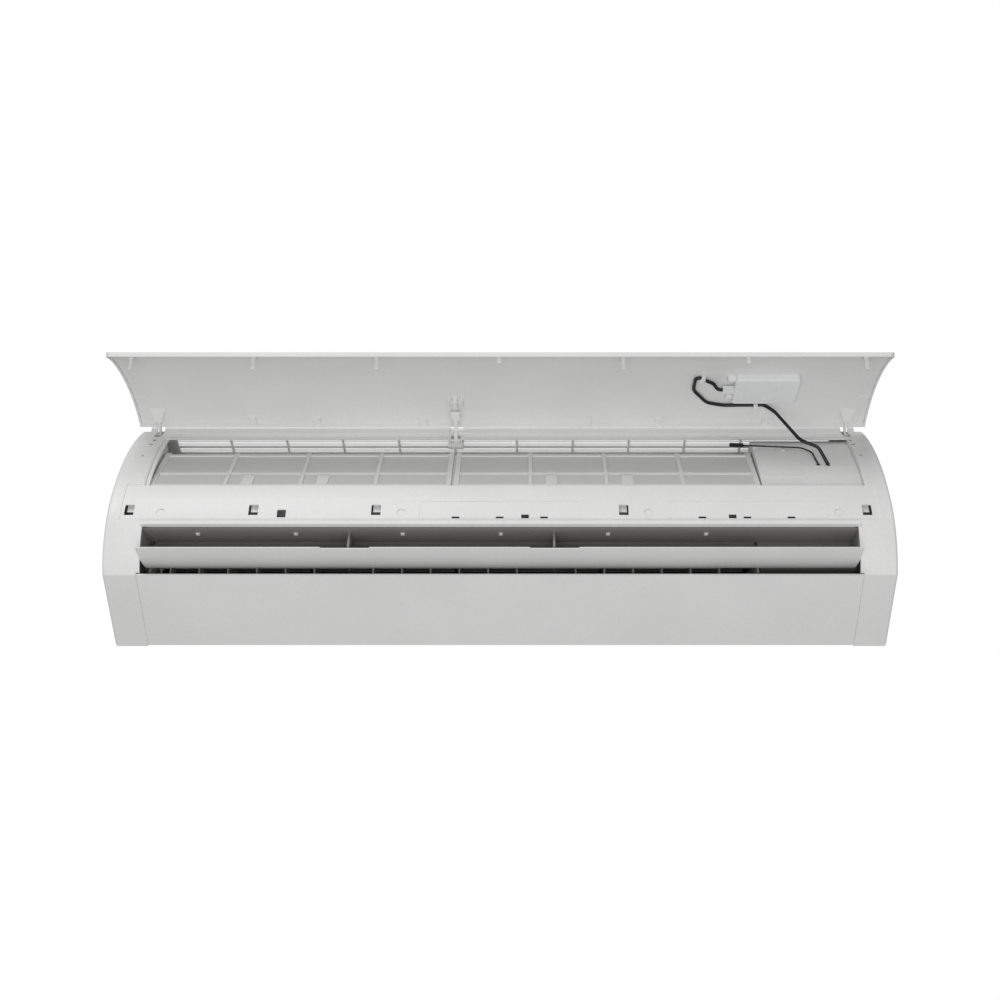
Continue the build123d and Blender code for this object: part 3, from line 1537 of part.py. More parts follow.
    # Rounded free corners.
    for side in (-1, 1):
        corner = panel_tangent(side * panel_width / 2, panel_low, panel_stand)
        with BuildSketch(corner.offset(-30.0)):
            with Locations((0, 0)):
                Rectangle(2 * corner_round, 2 * corner_round)
            with Locations((-side * corner_round, corner_round)):
                Circle(corner_round, mode=Mode.SUBTRACT)
            with Locations((-side * corner_round * 1.5, 0)):
                Rectangle(corner_round, 4 * corner_round, mode=Mode.SUBTRACT)
            with Locations((0, corner_round * 1.5)):
                Rectangle(4 * corner_round, corner_round, mode=Mode.SUBTRACT)
        extrude(amount=60.0, mode=Mode.SUBTRACT)
    for x in module_seats:
        with BuildSketch(panel_tangent(x, module_height, panel_inner - 2.0)):
            Circle(4.0)
        extrude(amount=3.0)
finish(front_panel.part, "front_panel")

# ---------------------------------------------------------------- prop of the panel
prop_hold = panel_point(prop_place, bracket_height + 9.7, -4.6)
prop_head = (prop_hold.Y, prop_hold.Z + plate_height)

with BuildPart() as panel_prop:
    rise = (prop_head[0] - prop_pivot[0], prop_head[1] - prop_pivot[1])
    length = hypot(*rise)
    prop_side = Plane(
        origin=(prop_place - 2.5, prop_pivot[0], up(prop_pivot[1])),
        x_dir=(0, rise[0] / length, rise[1] / length),
        z_dir=(1, 0, 0),
    )
    with BuildSketch(prop_side):
        with Locations((length / 2, 0)):
            SlotCenterToCenter(length, 5.0)
    extrude(amount=5.0)
    with BuildSketch(prop_side.offset(2.5 - 7.0)):
        with Locations((length, 0)):
            Circle(2.0)
    extrude(amount=14.0)
    # Wings beside the head.
    with BuildSketch(prop_side.offset(2.5 - 6.0)):
        with BuildLine():
            Polyline((length - 1.0, -2.0), (length - 1.0, 1.0), (length - 12.0, 1.0), close=True)
        make_face()
    extrude(amount=12.0)
    with BuildSketch(prop_side.offset(2.5 - 9.2)):
        Circle(2.0)
    extrude(amount=18.4)
finish(panel_prop.part, "panel_prop")

# ---------------------------------------------------------------- smart module, its plug, lead and clips
with BuildPart() as smart_module:
    seat_out = panel_inner - 2.0
    with BuildSketch(panel_tangent(module_x, module_height, seat_out).offset(-module_size[2])):
        RectangleRounded(module_size[0], module_size[1], 5.0)
    extrude(amount=module_size[2])
    front_face = smart_module.faces().sort_by(SortBy.AREA)[-2:].sort_by(Axis.Z)[0]
    fillet(front_face.edges(), 2.0)
finish(smart_module.part, "smart_module")

plug_x = module_x - module_size[0] / 2

with BuildPart() as module_plug:
    plug_plane = panel_tangent(plug_x, module_height, panel_inner - 7.5)
    with BuildSketch(plug_plane.offset(-3.5)):
        with Locations((-plug_length / 2, 0)):
            Rectangle(plug_length, 11.0)
    extrude(amount=7.0)
finish(module_plug.part, "module_plug")

lead_radius = 2.5
lead_out = panel_inner - lead_radius - 0.6
plug_end = plug_x - plug_length
hole_x, hole_height = lead_holes[0]
on_panel = (
    (plug_end, module_height, panel_inner - 7.5),
    (plug_end - 7.0, module_height, panel_inner - 7.0),
    (plug_end - 13.5, module_height - 6.0, lead_out),
    (module_x - 114.0, 176.0, lead_out),
    (module_x - 103.5, 222.0, lead_out),
    (module_x - 81.0, 250.0, lead_out),
    (module_x - 56.0, lead_clip_places[1][1] + 0.6, lead_out),
    (lead_clip_places[1][0] + 13.1, lead_clip_places[1][1], lead_out),
)
lead_points = [panel_point(*place) for place in on_panel]
lead_points += [
    Vector(hole_x - 68.0, -217.0, up(300.0)),
    Vector(hole_x - 38.0, -218.5, up(243.0)),
    Vector(hole_x - 14.0, -217.0, up(232.0)),
    Vector(hole_x, front_y(hole_height, shield_outer) - 1.0, up(hole_height)),
]
lead_bends = [8.0, 7.0, 5.0, 22.0, 22.0, 30.0, 12.0, 30.0, 25.0, 14.0]

with BuildPart() as module_lead:
    with BuildLine() as lead_route:
        FilletPolyline(*lead_points, radius=lead_bends)
    start_way = lead_points[1] - lead_points[0]
    with BuildSketch(Plane(origin=lead_points[0], z_dir=start_way)):
        RegularPolygon(lead_radius, 8)
    sweep()
finish(module_lead.part, "module_lead")
print("module lead", round(sum(edge.length for edge in lead_route.edges()), 1), "bends", lead_bends)

with BuildPart() as lead_clips:
    for x, height, turn in lead_clip_places:
        lead_plane = panel_tangent(x, height, lead_out).rotated((0, 0, turn))
        clip_plane = lead_plane.offset(panel_inner - 0.4 - lead_out)
        with BuildSketch(clip_plane):
            for side in (-1, 1):
                with Locations((0, side * (lead_radius + 1.3))):
                    Rectangle(6.0, 2.0)
        extrude(amount=-8.0)
        with BuildSketch(clip_plane.offset(-lead_radius * 2 - 1.3)):
            Rectangle(6.0, 2 * lead_radius + 4.6)
        extrude(amount=-1.5)
finish(lead_clips.part, "lead_clips")

# ---------------------------------------------------------------- room temperature sensor
probe_start = Vector(shield_left - 30.3, front_y(270.5, -9.0), up(270.5))
probe_end = Vector(shield_left - 14.3, front_y(261.5, wire_out), up(261.5))

probe_way = probe_end - probe_start

with BuildPart() as sensor_probe:
    with BuildSketch(Plane(origin=probe_start, z_dir=probe_way)):
        RegularPolygon(3.0, 12)
    extrude(amount=probe_way.length)
finish(sensor_probe.part, "sensor_probe")

hole_x, hole_height = lead_holes[1]
wire_points = [
    probe_end,
    probe_end + probe_way * 0.35,
    Vector(hole_x - 17.0, front_y(254.0, wire_out), up(254.0)),
    Vector(hole_x - 4.0, front_y(241.0, wire_out), up(241.0)),
    Vector(hole_x, front_y(hole_height, shield_outer) - 1.0, up(hole_height)),
]
wire_bends = [10.0, 14.0, 14.0]

with BuildPart() as sensor_lead:
    with BuildLine() as wire_route:
        FilletPolyline(*wire_points, radius=wire_bends)
    with BuildSketch(Plane(origin=wire_points[0], z_dir=wire_points[1] - wire_points[0])):
        RegularPolygon(wire_radius, 8)
    sweep()
finish(sensor_lead.part, "sensor_lead")
print("sensor lead", round(sum(edge.length for edge in wire_route.edges()), 1), "bends", wire_bends)

# ---------------------------------------------------------------- screw caps and frame screws
with BuildPart() as screw_caps:
    for x in cap_places:
        with Locations(Location((x, front_y(cap_height) + 3.65, up(cap_height)), (90, 0, 0))):
            Cylinder(cap_radius - 0.1, 2.9)
finish(screw_caps.part, "screw_caps")

with BuildPart() as frame_screws:
    for x in cap_places:
        with Locations(Location((x, front_y(cap_height) + 6.3, up(cap_height)), (90, 0, 0))):
            Cylinder(3.5, 2.0)
        with Locations(Location((x, front_y(cap_height) + 7.9, up(cap_height)), (90, 0, 0))):
            Cylinder(1.8, 1.6)
finish(frame_screws.part, "frame_screws")

# ---------------------------------------------------------------- refrigerant pipes
coil_face = coil_right + plate_thick
gas_start = -120.0
liquid_start = -60.0


def rear_slab_place(run):
    """Depth and height of a place in the middle of the rear slab, a run down from its upper end."""
    (y, height), lean, _ = coil_slabs[2]
    lean = radians(lean)
    return (
        -(y + run * sin(lean) + coil_thick / 2 * cos(lean)),
        height + run * cos(lean) - coil_thick / 2 * sin(lean),
    )


gas_riser, gas_top = rear_slab_place(42.0)
liquid_riser, liquid_top = rear_slab_place(64.0)

with BuildPart() as refrigerant_pipes:
    gas_points = [
        Vector(gas_start, -gas_depth, up(gas_height)),
        Vector(gas_x, -gas_depth, up(gas_height)),
        Vector(gas_x, -gas_riser, up(gas_height)),
        Vector(gas_x, -gas_riser, up(gas_top)),
        Vector(coil_face, -gas_riser, up(gas_top)),
    ]
    liquid_points = [
        Vector(liquid_start, -liquid_depth, up(liquid_height)),
        Vector(liquid_x, -liquid_depth, up(liquid_height)),
        Vector(liquid_x, -liquid_riser, up(liquid_height)),
        Vector(liquid_x, -liquid_riser, up(liquid_top)),
        Vector(coil_face, -liquid_riser, up(liquid_top)),
    ]
    for points, bend, radius, sides in (
        (gas_points, 25.0, gas_radius, 12),
        (liquid_points, 14.0, liquid_radius, 8),
    ):
        with BuildLine() as pipe_route:
            FilletPolyline(*points, radius=bend)
        with BuildSketch(Plane(origin=points[0], z_dir=(1, 0, 0))):
            RegularPolygon(radius, sides)
        sweep()
        print("pipe", round(sum(edge.length for edge in pipe_route.edges()), 1), "bends", bend)
finish(refrigerant_pipes.part, "refrigerant_pipes")

with BuildPart() as pipe_unions:
    for start, depth, height, across, length in (
        (gas_start, gas_depth, gas_height, 11.5, 30.0),
        (liquid_start, liquid_depth, liquid_height, 7.0, 24.0),
    ):
        with BuildSketch(side_plane(start - length)):
            with Locations((-depth, up(height))):
                RegularPolygon(across, 6)
        extrude(amount=length)
finish(pipe_unions.part, "pipe_unions")
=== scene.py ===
"""Looks of the indoor unit: materials, light, camera and the pieces that are finer than the solids."""
import bpy
import json
import numpy as np
from math import acos, cos, pi, radians, sin, tan
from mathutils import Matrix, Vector


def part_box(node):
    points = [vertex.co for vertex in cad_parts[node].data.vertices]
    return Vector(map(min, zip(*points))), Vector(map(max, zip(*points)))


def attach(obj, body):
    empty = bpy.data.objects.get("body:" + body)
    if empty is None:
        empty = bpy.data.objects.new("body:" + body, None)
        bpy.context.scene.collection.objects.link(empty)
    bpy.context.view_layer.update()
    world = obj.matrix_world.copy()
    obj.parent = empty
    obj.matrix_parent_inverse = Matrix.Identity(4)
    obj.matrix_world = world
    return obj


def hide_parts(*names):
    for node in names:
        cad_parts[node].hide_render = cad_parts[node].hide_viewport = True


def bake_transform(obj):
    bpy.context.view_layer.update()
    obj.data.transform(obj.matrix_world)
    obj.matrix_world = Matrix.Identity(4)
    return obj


# Lengths are metres in the frame of the solids: x along the unit, y = 0 at the wall, z up.
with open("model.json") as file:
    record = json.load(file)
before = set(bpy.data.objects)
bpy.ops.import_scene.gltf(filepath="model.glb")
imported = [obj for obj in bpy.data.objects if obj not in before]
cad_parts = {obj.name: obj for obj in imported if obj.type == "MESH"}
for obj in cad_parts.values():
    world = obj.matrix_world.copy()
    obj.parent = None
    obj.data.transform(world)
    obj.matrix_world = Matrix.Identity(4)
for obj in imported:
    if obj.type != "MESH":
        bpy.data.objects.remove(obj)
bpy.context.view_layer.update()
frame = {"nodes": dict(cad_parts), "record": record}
millimetre = 0.001


# ---------------------------------------------------------------- node helper
class Sock:
    """A shader value that can be used in sums and products."""

    def __init__(self, net, out):
        self.net = net
        self.out = out

    def __add__(self, other):
        return self.net.math("ADD", self, other)

    def __radd__(self, other):
        return self.net.math("ADD", other, self)

    def __mul__(self, other):
        return self.net.math("MULTIPLY", self, other)

    def __rmul__(self, other):
        return self.net.math("MULTIPLY", other, self)

    def sine(self):
        return self.net.math("SINE", self)

    def higher(self, other):
        return self.net.math("MAXIMUM", self, other)

    def ramp(self, low, high, to_low=0.0, to_high=1.0):
        """Maps low..high smoothly onto to_low..to_high."""
        made = self.net.node(
            "ShaderNodeMapRange", {"interpolation_type": "SMOOTHSTEP"},
            {"Value": self, "From Min": low, "From Max": high, "To Min": to_low, "To Max": to_high})
        return Sock(self.net, made.outputs["Result"])


class Net:
    """Node tree of one material."""

    inlets = {"color": "Base Color", "rough": "Roughness", "metal": "Metallic",
              "shine": "Specular IOR Level"}

    def __init__(self, name):
        self.material = bpy.data.materials.new(name)
        self.material.use_nodes = True
        self.tree = self.material.node_tree
        self.tree.nodes.clear()
        self.bsdf = self.node("ShaderNodeBsdfPrincipled")
        self.end = self.node("ShaderNodeOutputMaterial", inputs={"Surface": self.bsdf.outputs[0]})
        self.place = self.node("ShaderNodeTexCoord").outputs["Object"]

    def node(self, kind, settings=None, inputs=None):
        """A node of this type, with its settings and then the values or links of its sockets."""
        made = self.tree.nodes.new(kind)
        for key, value in (settings or {}).items():
            setattr(made, key, value)
        for key, value in (inputs or {}).items():
            self.feed(made.inputs[key], value)
        return made

    def feed(self, socket, value):
        if isinstance(value, Sock):
            value = value.out
        if isinstance(value, bpy.types.NodeSocket):
            self.tree.links.new(value, socket)
        elif isinstance(value, tuple) and socket.type == "RGBA":
            socket.default_value = (*value, 1.0)
        else:
            socket.default_value = value

    def math(self, operation, *values):
        made = self.node("ShaderNodeMath", {"operation": operation}, dict(enumerate(values)))
        return Sock(self, made.outputs[0])

    def axes(self):
        split = self.node("ShaderNodeSeparateXYZ", inputs={"Vector": self.place})
        return [Sock(self, out) for out in split.outputs]

    def noise(self, scale, detail=2.0, stretch=(1.0, 1.0, 1.0)):
        moved = self.node("ShaderNodeMapping", inputs={"Vector": self.place, "Scale": stretch})
        made = self.node("ShaderNodeTexNoise", inputs={
            "Vector": moved.outputs[0], "Scale": scale, "Detail": detail, "Roughness": 0.5})
        return Sock(self, made.outputs[0])

    def mix(self, amount, one, two):
        """Colour from one to two; a colour mix has its factor, colours and result at 0, 6, 7 and 2."""
        made = self.node("ShaderNodeMix", {"data_type": "RGBA"}, {0: amount, 6: one, 7: two})
        return made.outputs[2]

    def bump(self, height, distance):
        made = self.node("ShaderNodeBump", inputs={"Height": height, "Distance": distance})
        self.feed(self.bsdf.inputs["Normal"], made.outputs[0])

    def set(self, **values):
        for key, value in values.items():
            self.feed(self.bsdf.inputs[self.inlets[key]], value)


def shade(color, amount):
    return tuple(channel * amount for channel in color)


# ---------------------------------------------------------------- plastics
cloud_scale = 9.0
speck_scale = 260.0
noise_band = (0.3, 0.7)        # the part of a noise's range that shows
speck_band = (0.35, 0.65)
cloud_share = 0.6              # of the clouds in the colour; the specks have the rest
darkest = 0.96                 # share of the colour in the dull places
lightest = 1.016
skin_scale = 1800.0
foam_scale = 500.0
polished = 0.02 * millimetre   # heights of the grain
satin = 0.04 * millimetre
matt = 0.06 * millimetre
foamed = 0.2 * millimetre


def grained(net, cloud, rough, grain, scale):
    """Skin of a moulded piece: fine grain and a slightly uneven sheen."""
    net.set(rough=cloud.ramp(*noise_band, rough - 0.04, rough + 0.06), shine=0.4)
    net.bump(net.noise(scale), grain)


def moulded(name, color, rough, grain=matt, scale=skin_scale):
    """Moulded plastic: faint clouds and specks in its colour, under a grained skin."""
    net = Net(name)
    cloud = net.noise(cloud_scale, 3.0)
    speck = net.noise(speck_scale)
    tone = cloud.ramp(*noise_band) * cloud_share + speck.ramp(*speck_band) * (1.0 - cloud_share)
    net.set(color=net.mix(tone, shade(color, darkest), shade(color, lightest)))
    grained(net, cloud, rough, grain, scale)
    return net


white = (0.79, 0.79, 0.785)
filter_white = (0.80, 0.80, 0.79)
duct_grey = (0.28, 0.275, 0.26)
# painted shade: near black laid on the outlet's floor, where the mouth is in deep shade
painted_floor_shade = (0.03, 0.03, 0.03)
rubber_black = (0.02, 0.02, 0.02)
# colour, roughness, height of the grain and its scale
plastics = {
    "casing_white": (white, 0.34, polished),
    "frame_white": (white, 0.40, satin),
    "louver_white": (white, 0.34, polished),
    "duct_plastic": (duct_grey, 0.5),
    "chassis_plastic": ((0.40, 0.40, 0.385), 0.5),
    "filter_plastic": (filter_white, 0.42),
    "guide_plastic": (filter_white, 0.5),
    "pan_foam": ((0.75, 0.75, 0.74), 0.7, foamed, foam_scale),
    "fan_plastic": (rubber_black, 0.4),
    "bearing_rubber": (rubber_black, 0.7),
    "module_plastic": ((0.83, 0.84, 0.84), 0.3),
    "lead_black": ((0.012, 0.012, 0.013), 0.42),
    "board_green": ((0.02, 0.10, 0.05), 0.35),
}
looks = {name: moulded(name, *finish) for name, finish in plastics.items()}

painted_shade_band = (-0.108, -0.092)  # heights over which the painted shade on the outlet's floor fades into the grey of its walls


def duct_with_painted_shade():
    """Mouth of the outlet: painted shade, near black, along its floor, fading into grey above it."""
    net = Net("duct_with_painted_shade")
    height = net.axes()[2]
    # painted shade: the floor's near black stands in for the shade deep in the outlet, not a colour of the
    # plastic
    net.set(color=net.mix(height.ramp(*painted_shade_band), painted_floor_shade, duct_grey))
    grained(net, net.noise(cloud_scale, 3.0), 0.5, matt, skin_scale)
    return net


# ---------------------------------------------------------------- metals
streak_scale = 220.0
stain_scale = 14.0
streak_height = 0.03 * millimetre
even = (1.0, 1.0, 1.0)
along_x = (0.1, 1.0, 1.0)      # streaks drawn out along the tubes


def metal(name, color, rough, stretch=even):
    """Bare or plated metal with drawn or rolled streaks and faint stains."""
    net = Net(name)
    streak = net.noise(streak_scale, 3.0, stretch)
    stain = net.noise(stain_scale, 3.0).ramp(*noise_band)
    net.set(color=net.mix(stain, shade(color, 0.86), color), metal=1.0)
    net.set(rough=streak.ramp(*noise_band, rough - 0.06, rough + 0.1))
    net.bump(streak, streak_height)
    return net


# colour, roughness and direction of the streaks
metals = {
    "zinc_steel": ((0.62, 0.63, 0.64), 0.38),
    "copper": ((0.78, 0.42, 0.27), 0.3, along_x),
    "brass": ((0.80, 0.62, 0.30), 0.28),
    "shaft_steel": ((0.6, 0.6, 0.62), 0.25),
    "motor_steel": ((0.5, 0.51, 0.53), 0.42),
}
looks.update({name: metal(name, *finish) for name, finish in metals.items()})

# ---------------------------------------------------------------- net and fins
thread_pitch = 1.2 * millimetre
thread_height = 0.12 * millimetre
filter_lean = radians(23)      # of the filters' front run, from upright
thread_dull = (0.88, 0.88, 0.86)
thread_clean = (0.93, 0.93, 0.91)
between_threads = (0.62, 0.62, 0.60)
fin_pitch = 1.4 * millimetre
fin_height = 0.4 * millimetre
fin_edge = (0.80, 0.80, 0.80)
# painted shade in the narrow gaps between the fins
painted_fin_gap_shade = (0.42, 0.42, 0.42)


def net_cloth():
    """Woven net: a sine wave along the unit and one up the leaning filter, the higher of the two
    being the thread; the low places between the threads let more light through."""
    net = Net("filter_mesh")
    x, y, z = net.axes()
    up_filter = z * cos(filter_lean) + y * sin(filter_lean)
    per_metre = 2 * pi / thread_pitch
    weave = (x * per_metre).sine().higher((up_filter * per_metre).sine()).ramp(0.2, 0.9)
    thread = net.mix(net.noise(30.0, 3.0), thread_dull, thread_clean)
    net.set(color=net.mix(weave, between_threads, thread), rough=0.7)
    net.bump(weave, thread_height)
    clear = net.node("ShaderNodeBsdfTransparent")
    mixed = net.node("ShaderNodeMixShader", inputs={
        0: weave * 0.16 + 0.8, 1: clear.outputs[0], 2: net.bsdf.outputs[0]})
    net.feed(net.end.inputs["Surface"], mixed.outputs[0])
    return net


def fins():
    """Edges of the heat exchanger's thin sheets: a sine wave along the unit, light on its crests, with
    painted shade, darker grey, in the gaps between the sheets.
    """
    net = Net("fin_aluminium")
    ridge = (net.axes()[0] * (2 * pi / fin_pitch)).sine().ramp(-0.6, 0.6)
    net.set(color=net.mix(ridge, painted_fin_gap_shade, fin_edge), metal=ridge * 0.3, rough=0.35)
    net.bump(ridge, fin_height)
    return net


looks["filter_mesh"] = net_cloth()
looks["fin_aluminium"] = fins()

# ---------------------------------------------------------------- looks of the solids
slots = {entry["node"]: entry["material_slot"] for entry in frame["record"]["subparts"]}
own_looks = {"outlet_frame": duct_with_painted_shade()}
for name, node in frame["nodes"].items():
    node.data.materials.clear()
    node.data.materials.append(own_looks.get(name, looks[slots[name]]).material)


# ---------------------------------------------------------------- meshes
def solid(name, verts, faces, smooth=True):
    """Object from points and faces, at the origin."""
    mesh = bpy.data.meshes.new(name)
    mesh.from_pydata(verts.tolist(), [], faces)
    mesh.polygons.foreach_set("use_smooth", [smooth] * len(faces))
    mesh.update()
    made = bpy.data.objects.new(name, mesh)
    bpy.context.scene.collection.objects.link(made)
    return made


def dress(piece, slot_name):
    piece.data.materials.append(looks[slot_name].material)
    return piece


def rows_of_quads(rows, columns):
    """Faces between neighbouring rows of a grid of points whose rows close on themselves."""
    row = np.arange(rows - 1)[:, None] * columns
    column = np.arange(columns)[None, :]
    following = (column + 1) % columns
    quads = [row + column, row + following, row + columns + following, row + columns + column]
    return np.stack(quads, -1).reshape(-1, 4).tolist()


# ---------------------------------------------------------------- leads
path_step = 1.5 * millimetre
ripple_turn = 0.11             # of the slow wave, in radians from ring to ring


def rounded_path(corners, bends):
    """Points along straight runs joined by arcs: at each inner corner the arc of its bend radius
    touches both runs, so it starts bend * tan(turn / 2) before the corner. Each gap between two
    points is then filled evenly, to the step or less."""
    path = [corners[0]]
    for before, corner, after, bend in zip(corners, corners[1:], corners[2:], bends):
        back = (before - corner) / np.linalg.norm(before - corner)
        on = (after - corner) / np.linalg.norm(after - corner)
        turn = pi - acos(back @ on)
        middle = (back + on) / np.linalg.norm(back + on)
        centre = corner + middle * bend / cos(turn / 2)
        start = corner + back * bend * tan(turn / 2) - centre
        arc_steps = max(2, int(bend * turn / path_step))
        angle = np.linspace(0.0, turn, arc_steps + 1)[:, None]
        path.extend(centre + start * np.cos(angle) - back * bend * np.sin(angle))
    path.append(corners[-1])
    filled = []
    for here, there in zip(path, path[1:]):
        parts = int(np.linalg.norm(there - here) / path_step) + 1
        filled.append(np.linspace(here, there, parts, endpoint=False))
    return np.concatenate([*filled, path[-1:]])


def tube(name, path, radius, sides, ripple=0.0):
    """Round skin along a path: ring i is centred on path point i, in the plane across the path, at
    radius * (1 + ripple * a slow wave), with its start direction carried along without twist. A
    point at each end closes the skin."""
    ahead = np.gradient(path, axis=0)
    ahead /= np.linalg.norm(ahead, axis=1)[:, None]
    across = np.zeros_like(path)
    first = np.cross(ahead[0], (0.0, 0.3, 1.0))
    across[0] = first / np.linalg.norm(first)
    for index in range(1, len(path)):
        carried = across[index - 1] - ahead[index] * (across[index - 1] @ ahead[index])
        across[index] = carried / np.linalg.norm(carried)
    angle = np.linspace(0.0, 2 * pi, sides, endpoint=False)[None, :, None]
    reach = radius * (1.0 + ripple * np.sin(np.arange(len(path)) * ripple_turn))[:, None, None]
    around = np.cos(angle) * across[:, None, :] + np.sin(angle) * np.cross(ahead, across)[:, None, :]
    rings = path[:, None, :] + reach * around
    verts = np.concatenate([rings.reshape(-1, 3), path[:1], path[-1:]])
    start_point, end_point = len(verts) - 2, len(verts) - 1
    last_ring = (len(path) - 1) * sides
    faces = rows_of_quads(len(path), sides)
    faces += [(start_point, (side + 1) % sides, side) for side in range(sides)]
    faces += [(end_point, last_ring + side, last_ring + (side + 1) % sides) for side in range(sides)]
    return solid(name, verts, faces)


# From the plug of the module over the panel's clips to the cover of the control box.
lead_corners = np.array([
    (319.0, -257.6, 140.3), (312.0, -257.8, 140.78), (305.5, -267.14, 143.34), (278.0, -287.55, 139.21),
    (277.5, -252.15, 145.39), (300.0, -222.45, 147.07), (325.0, -216.89, 147.03), (385.0, -217.55, 147.04),
    (399.0, -217.0, 135.0), (429.0, -218.5, 78.0), (453.0, -217.0, 67.0), (467.0, -201.5, 47.0),
]) * millimetre
lead_bends = np.array([8.0, 7.0, 5.0, 22.0, 22.0, 30.0, 12.0, 30.0, 25.0, 14.0]) * millimetre
lead_radius = 2.5 * millimetre
lead_path = rounded_path(lead_corners, lead_bends)
lead = dress(tube("lead_skin", lead_path, lead_radius, 16, ripple=0.03), "lead_black")
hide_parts("module_lead")
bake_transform(lead)

# From the room temperature sensor to the cover of the control box.
wire_corners = np.array([
    (352.0, -185.41, 96.5), (357.6, -188.78, 93.35), (436.0, -188.95, 89.0), (449.0, -194.46, 76.0),
    (453.0, -201.22, 48.0),
]) * millimetre
wire_bends = np.array([10.0, 14.0, 14.0]) * millimetre
wire_radius = 1.2 * millimetre
wire = dress(tube("wire_skin", rounded_path(wire_corners, wire_bends), wire_radius, 12), "lead_black")
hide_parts("sensor_lead")
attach(wire, "chassis")

# ---------------------------------------------------------------- rounded blocks
upright = np.eye(3)
off_equator = 1e-4             # keeps every ring clear of the height where the sign is zero
end_corners = ((1, 1), (-1, 1), (-1, -1), (1, -1))


def rounded_block(centre, axes, size, corner, rings=8, turns=16):
    """Rounded block: every point n of a unit ball goes to sign(n) * (half size - corner) +
    corner * n, so flat faces stay flat and all edges get the corner radius. Four more points close
    each end with a flat face."""
    latitude = np.linspace(-pi / 2, pi / 2, rings + 1)[1:-1] + off_equator
    longitude = np.linspace(0.0, 2 * pi, turns, endpoint=False) + pi / turns
    lat, lon = np.meshgrid(latitude, longitude, indexing="ij")
    ball = np.stack([np.cos(lat) * np.cos(lon), np.cos(lat) * np.sin(lon), np.sin(lat)], -1).reshape(-1, 3)
    half = np.array(size) / 2 - corner
    ends = [(x * half[0], y * half[1], z * (half[2] + corner)) for z in (-1, 1) for x, y in end_corners]
    points = np.concatenate([np.sign(ball) * half + ball * corner, ends])
    faces = rows_of_quads(rings - 1, turns)
    for upper, ring_start in ((False, 0), (True, (rings - 2) * turns)):
        end_face = [len(ball) + 4 * upper + index for index in range(4)]
        nearest = [end_face[4 * turn // turns] for turn in range(turns)]
        closing = [end_face]
        for turn in range(turns):
            after = (turn + 1) % turns
            edge = (ring_start + turn, nearest[turn], nearest[after], ring_start + after)
            closing.append(list(dict.fromkeys(edge)))
        faces += closing if upper else [face[::-1] for face in closing]
    return np.array(centre) + points @ np.array(axes), faces


def blocks(name, places):
    """One object made of several rounded blocks."""
    groups, faces = [], []
    for place in places:
        points, block_faces = rounded_block(*place)
        start = sum(len(group) for group in groups)
        groups.append(points)
        faces += [[start + index for index in face] for face in block_faces]
    return solid(name, np.concatenate(groups), faces, smooth=False)


# ---------------------------------------------------------------- lid and catches of the module
# Middle of the module's face on the panel, and its directions along, across and off the panel.
module_face = np.array((0.381, -0.260635, 0.147455))
module_axes = np.array([(1.0, 0.0, 0.0), (0.0, 0.991, 0.132), (0.0, -0.132, 0.991)])
# place along, across and off the panel's face, size, and radius of the corners, in millimetres
module_blocks = (
    ((0.0, 0.0, 9.2), (84.0, 52.0, 2.2), 0.9),         # raised lid
    ((-50.0, 20.0, 4.0), (10.0, 9.0, 8.0), 1.0),       # catches at the plug's end
    ((-51.0, -21.0, 4.0), (12.0, 8.0, 8.0), 1.0),
    ((36.0, 31.0, 5.0), (14.0, 5.0, 10.0), 1.0),       # catches along the side
    ((-36.0, 31.0, 5.0), (10.0, 5.0, 10.0), 1.0),
)


def on_module(along, across, off):
    return module_face + np.array((along, across, -off)) * millimetre @ module_axes


trim = [(on_module(*place), module_axes, np.array(size) * millimetre, corner * millimetre)
        for place, size, corner in module_blocks]
module_trim = dress(blocks("module_trim", trim), "module_plastic")
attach(module_trim, "panel")

# ---------------------------------------------------------------- small bosses under the outlet's ceiling
boss_places = np.array((-417.2, -282.0, -134.9, 0.4, 148.2, 283.4)) * millimetre
boss_depth = -188.4 * millimetre
boss_height = -65.2 * millimetre
boss_size = (0.006, 0.006, 0.003)
boss_corner = 1.4 * millimetre
bosses = [((x, boss_depth, boss_height), upright, boss_size, boss_corner) for x in boss_places]
duct_bosses = dress(blocks("duct_bosses", bosses), "filter_plastic")
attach(duct_bosses, "chassis")

# ---------------------------------------------------------------- fine blades of the top grille
blade_drop = 1.7 * millimetre
blade_thick = 0.8 * millimetre
blade_pitch = 3.6 * millimetre
blade_corner = 0.4 * millimetre
blade_margin = 4.0 * millimetre    # first blade from the grille's front edge
blade_seat = 0.5 * millimetre      # how far the blades stand in the grille's bars
end_margin = 1.5 * millimetre
grille_low, grille_high = (np.array(corner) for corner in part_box("top_grille"))
blade_count = int((grille_high[1] - grille_low[1] - blade_margin) / blade_pitch)
blade_middle = (grille_low[0] + grille_high[0]) / 2
blade_length = grille_high[0] - grille_low[0] - 2 * end_margin
blade_height = grille_low[2] - blade_drop / 2 + blade_seat
blade_size = (blade_length, blade_thick, blade_drop)
blades = [((blade_middle, grille_low[1] + blade_margin + blade_pitch * index, blade_height),
           upright, blade_size, blade_corner) for index in range(blade_count)]
grille_blades = dress(blocks("grille_blades", blades), "frame_white")
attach(grille_blades, "chassis")

# ---------------------------------------------------------------- stage, light and camera
room_glow = 0.30               # of the white room on the unit; the camera sees plain white


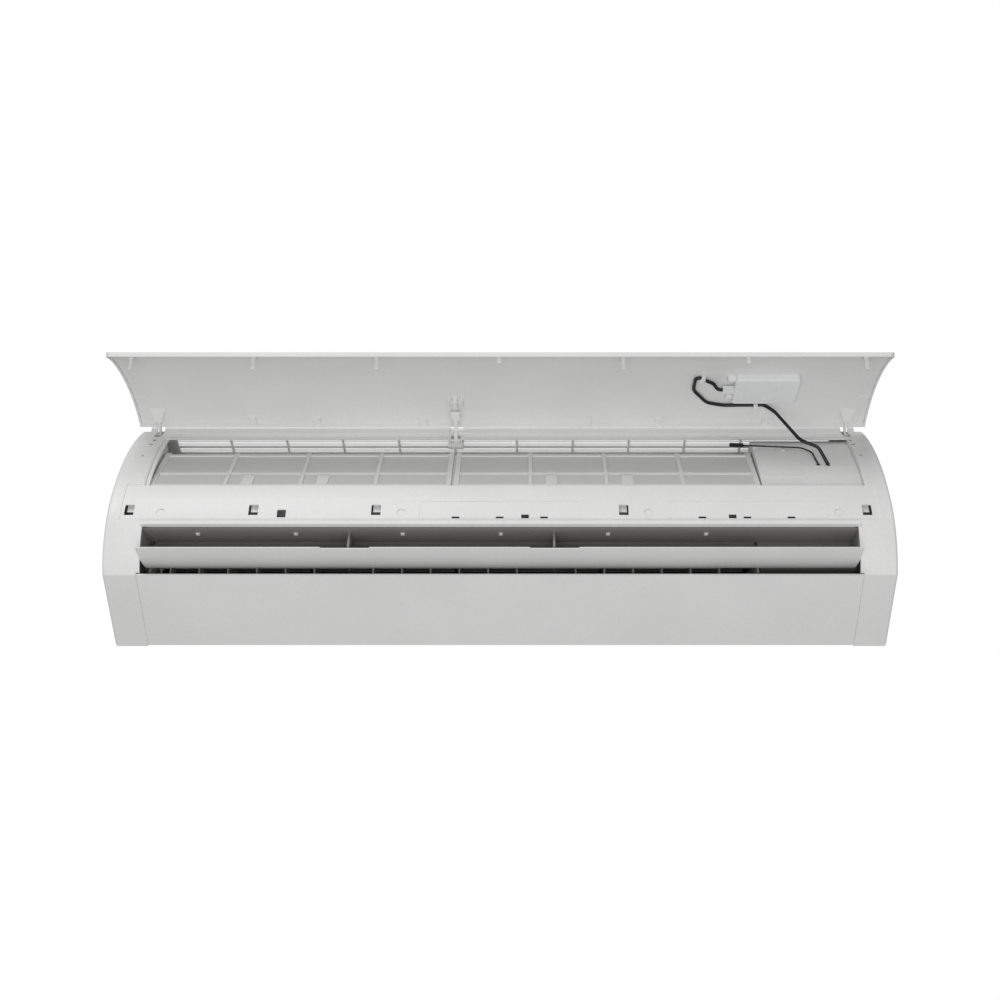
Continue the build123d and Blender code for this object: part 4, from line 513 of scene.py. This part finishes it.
def white_room():
    """White seen by the camera, and a dimmer white for every other ray."""
    world = bpy.data.worlds.new("room")
    bpy.context.scene.world = world
    world.use_nodes = True
    tree = world.node_tree
    tree.nodes.clear()
    choose = tree.nodes.new("ShaderNodeMixShader")
    rays = tree.nodes.new("ShaderNodeLightPath")
    tree.links.new(rays.outputs["Is Camera Ray"], choose.inputs[0])
    for index, strength in ((1, room_glow), (2, 1.0)):
        glow = tree.nodes.new("ShaderNodeBackground")
        glow.inputs["Color"].default_value = (1, 1, 1, 1)
        glow.inputs["Strength"].default_value = strength
        tree.links.new(glow.outputs[0], choose.inputs[index])
    out = tree.nodes.new("ShaderNodeOutputWorld")
    tree.links.new(choose.outputs[0], out.inputs[0])


def lamp(name, place, aim, size, power):
    """Square soft light, aimed and kept out of the camera's sight."""
    data = bpy.data.lights.new(name, "AREA")
    data.shape = "RECTANGLE"
    data.size = size
    data.size_y = size
    data.energy = power
    made = bpy.data.objects.new(name, data)
    bpy.context.scene.collection.objects.link(made)
    made.location = place
    made.rotation_euler = (Vector(aim) - Vector(place)).to_track_quat("-Z", "Y").to_euler()
    made.visible_camera = False


white_room()
front_middle = (0, -0.15, 0)
top_middle = (0, -0.1, 0)
lamp("key", (-1.0, -2.7, 1.3), front_middle, size=1.3, power=32.0)
lamp("low", (0.0, -1.9, -2.1), front_middle, size=2.0, power=39.0)
lamp("top", (0.0, -0.4, 2.4), top_middle, size=2.0, power=23.0)

# The photograph was taken from the front and below, along this tilt from straight down.
camera_place = (0.0379, -1.6439, -1.1274)
camera_tilt = radians(132.0)
camera_data = bpy.data.cameras.new("camera")
camera_data.sensor_width = 36.0
camera_data.lens = 46.8
camera_data.shift_x = -0.028
camera_data.shift_y = -0.1
camera_data.clip_start = 0.05
camera_data.clip_end = 30.0
camera = bpy.data.objects.new("camera", camera_data)
bpy.context.scene.collection.objects.link(camera)
camera.location = camera_place
camera.rotation_euler = (camera_tilt, 0.0, 0.0)
bpy.context.scene.camera = camera
bpy.context.scene.view_settings.view_transform = "Standard"
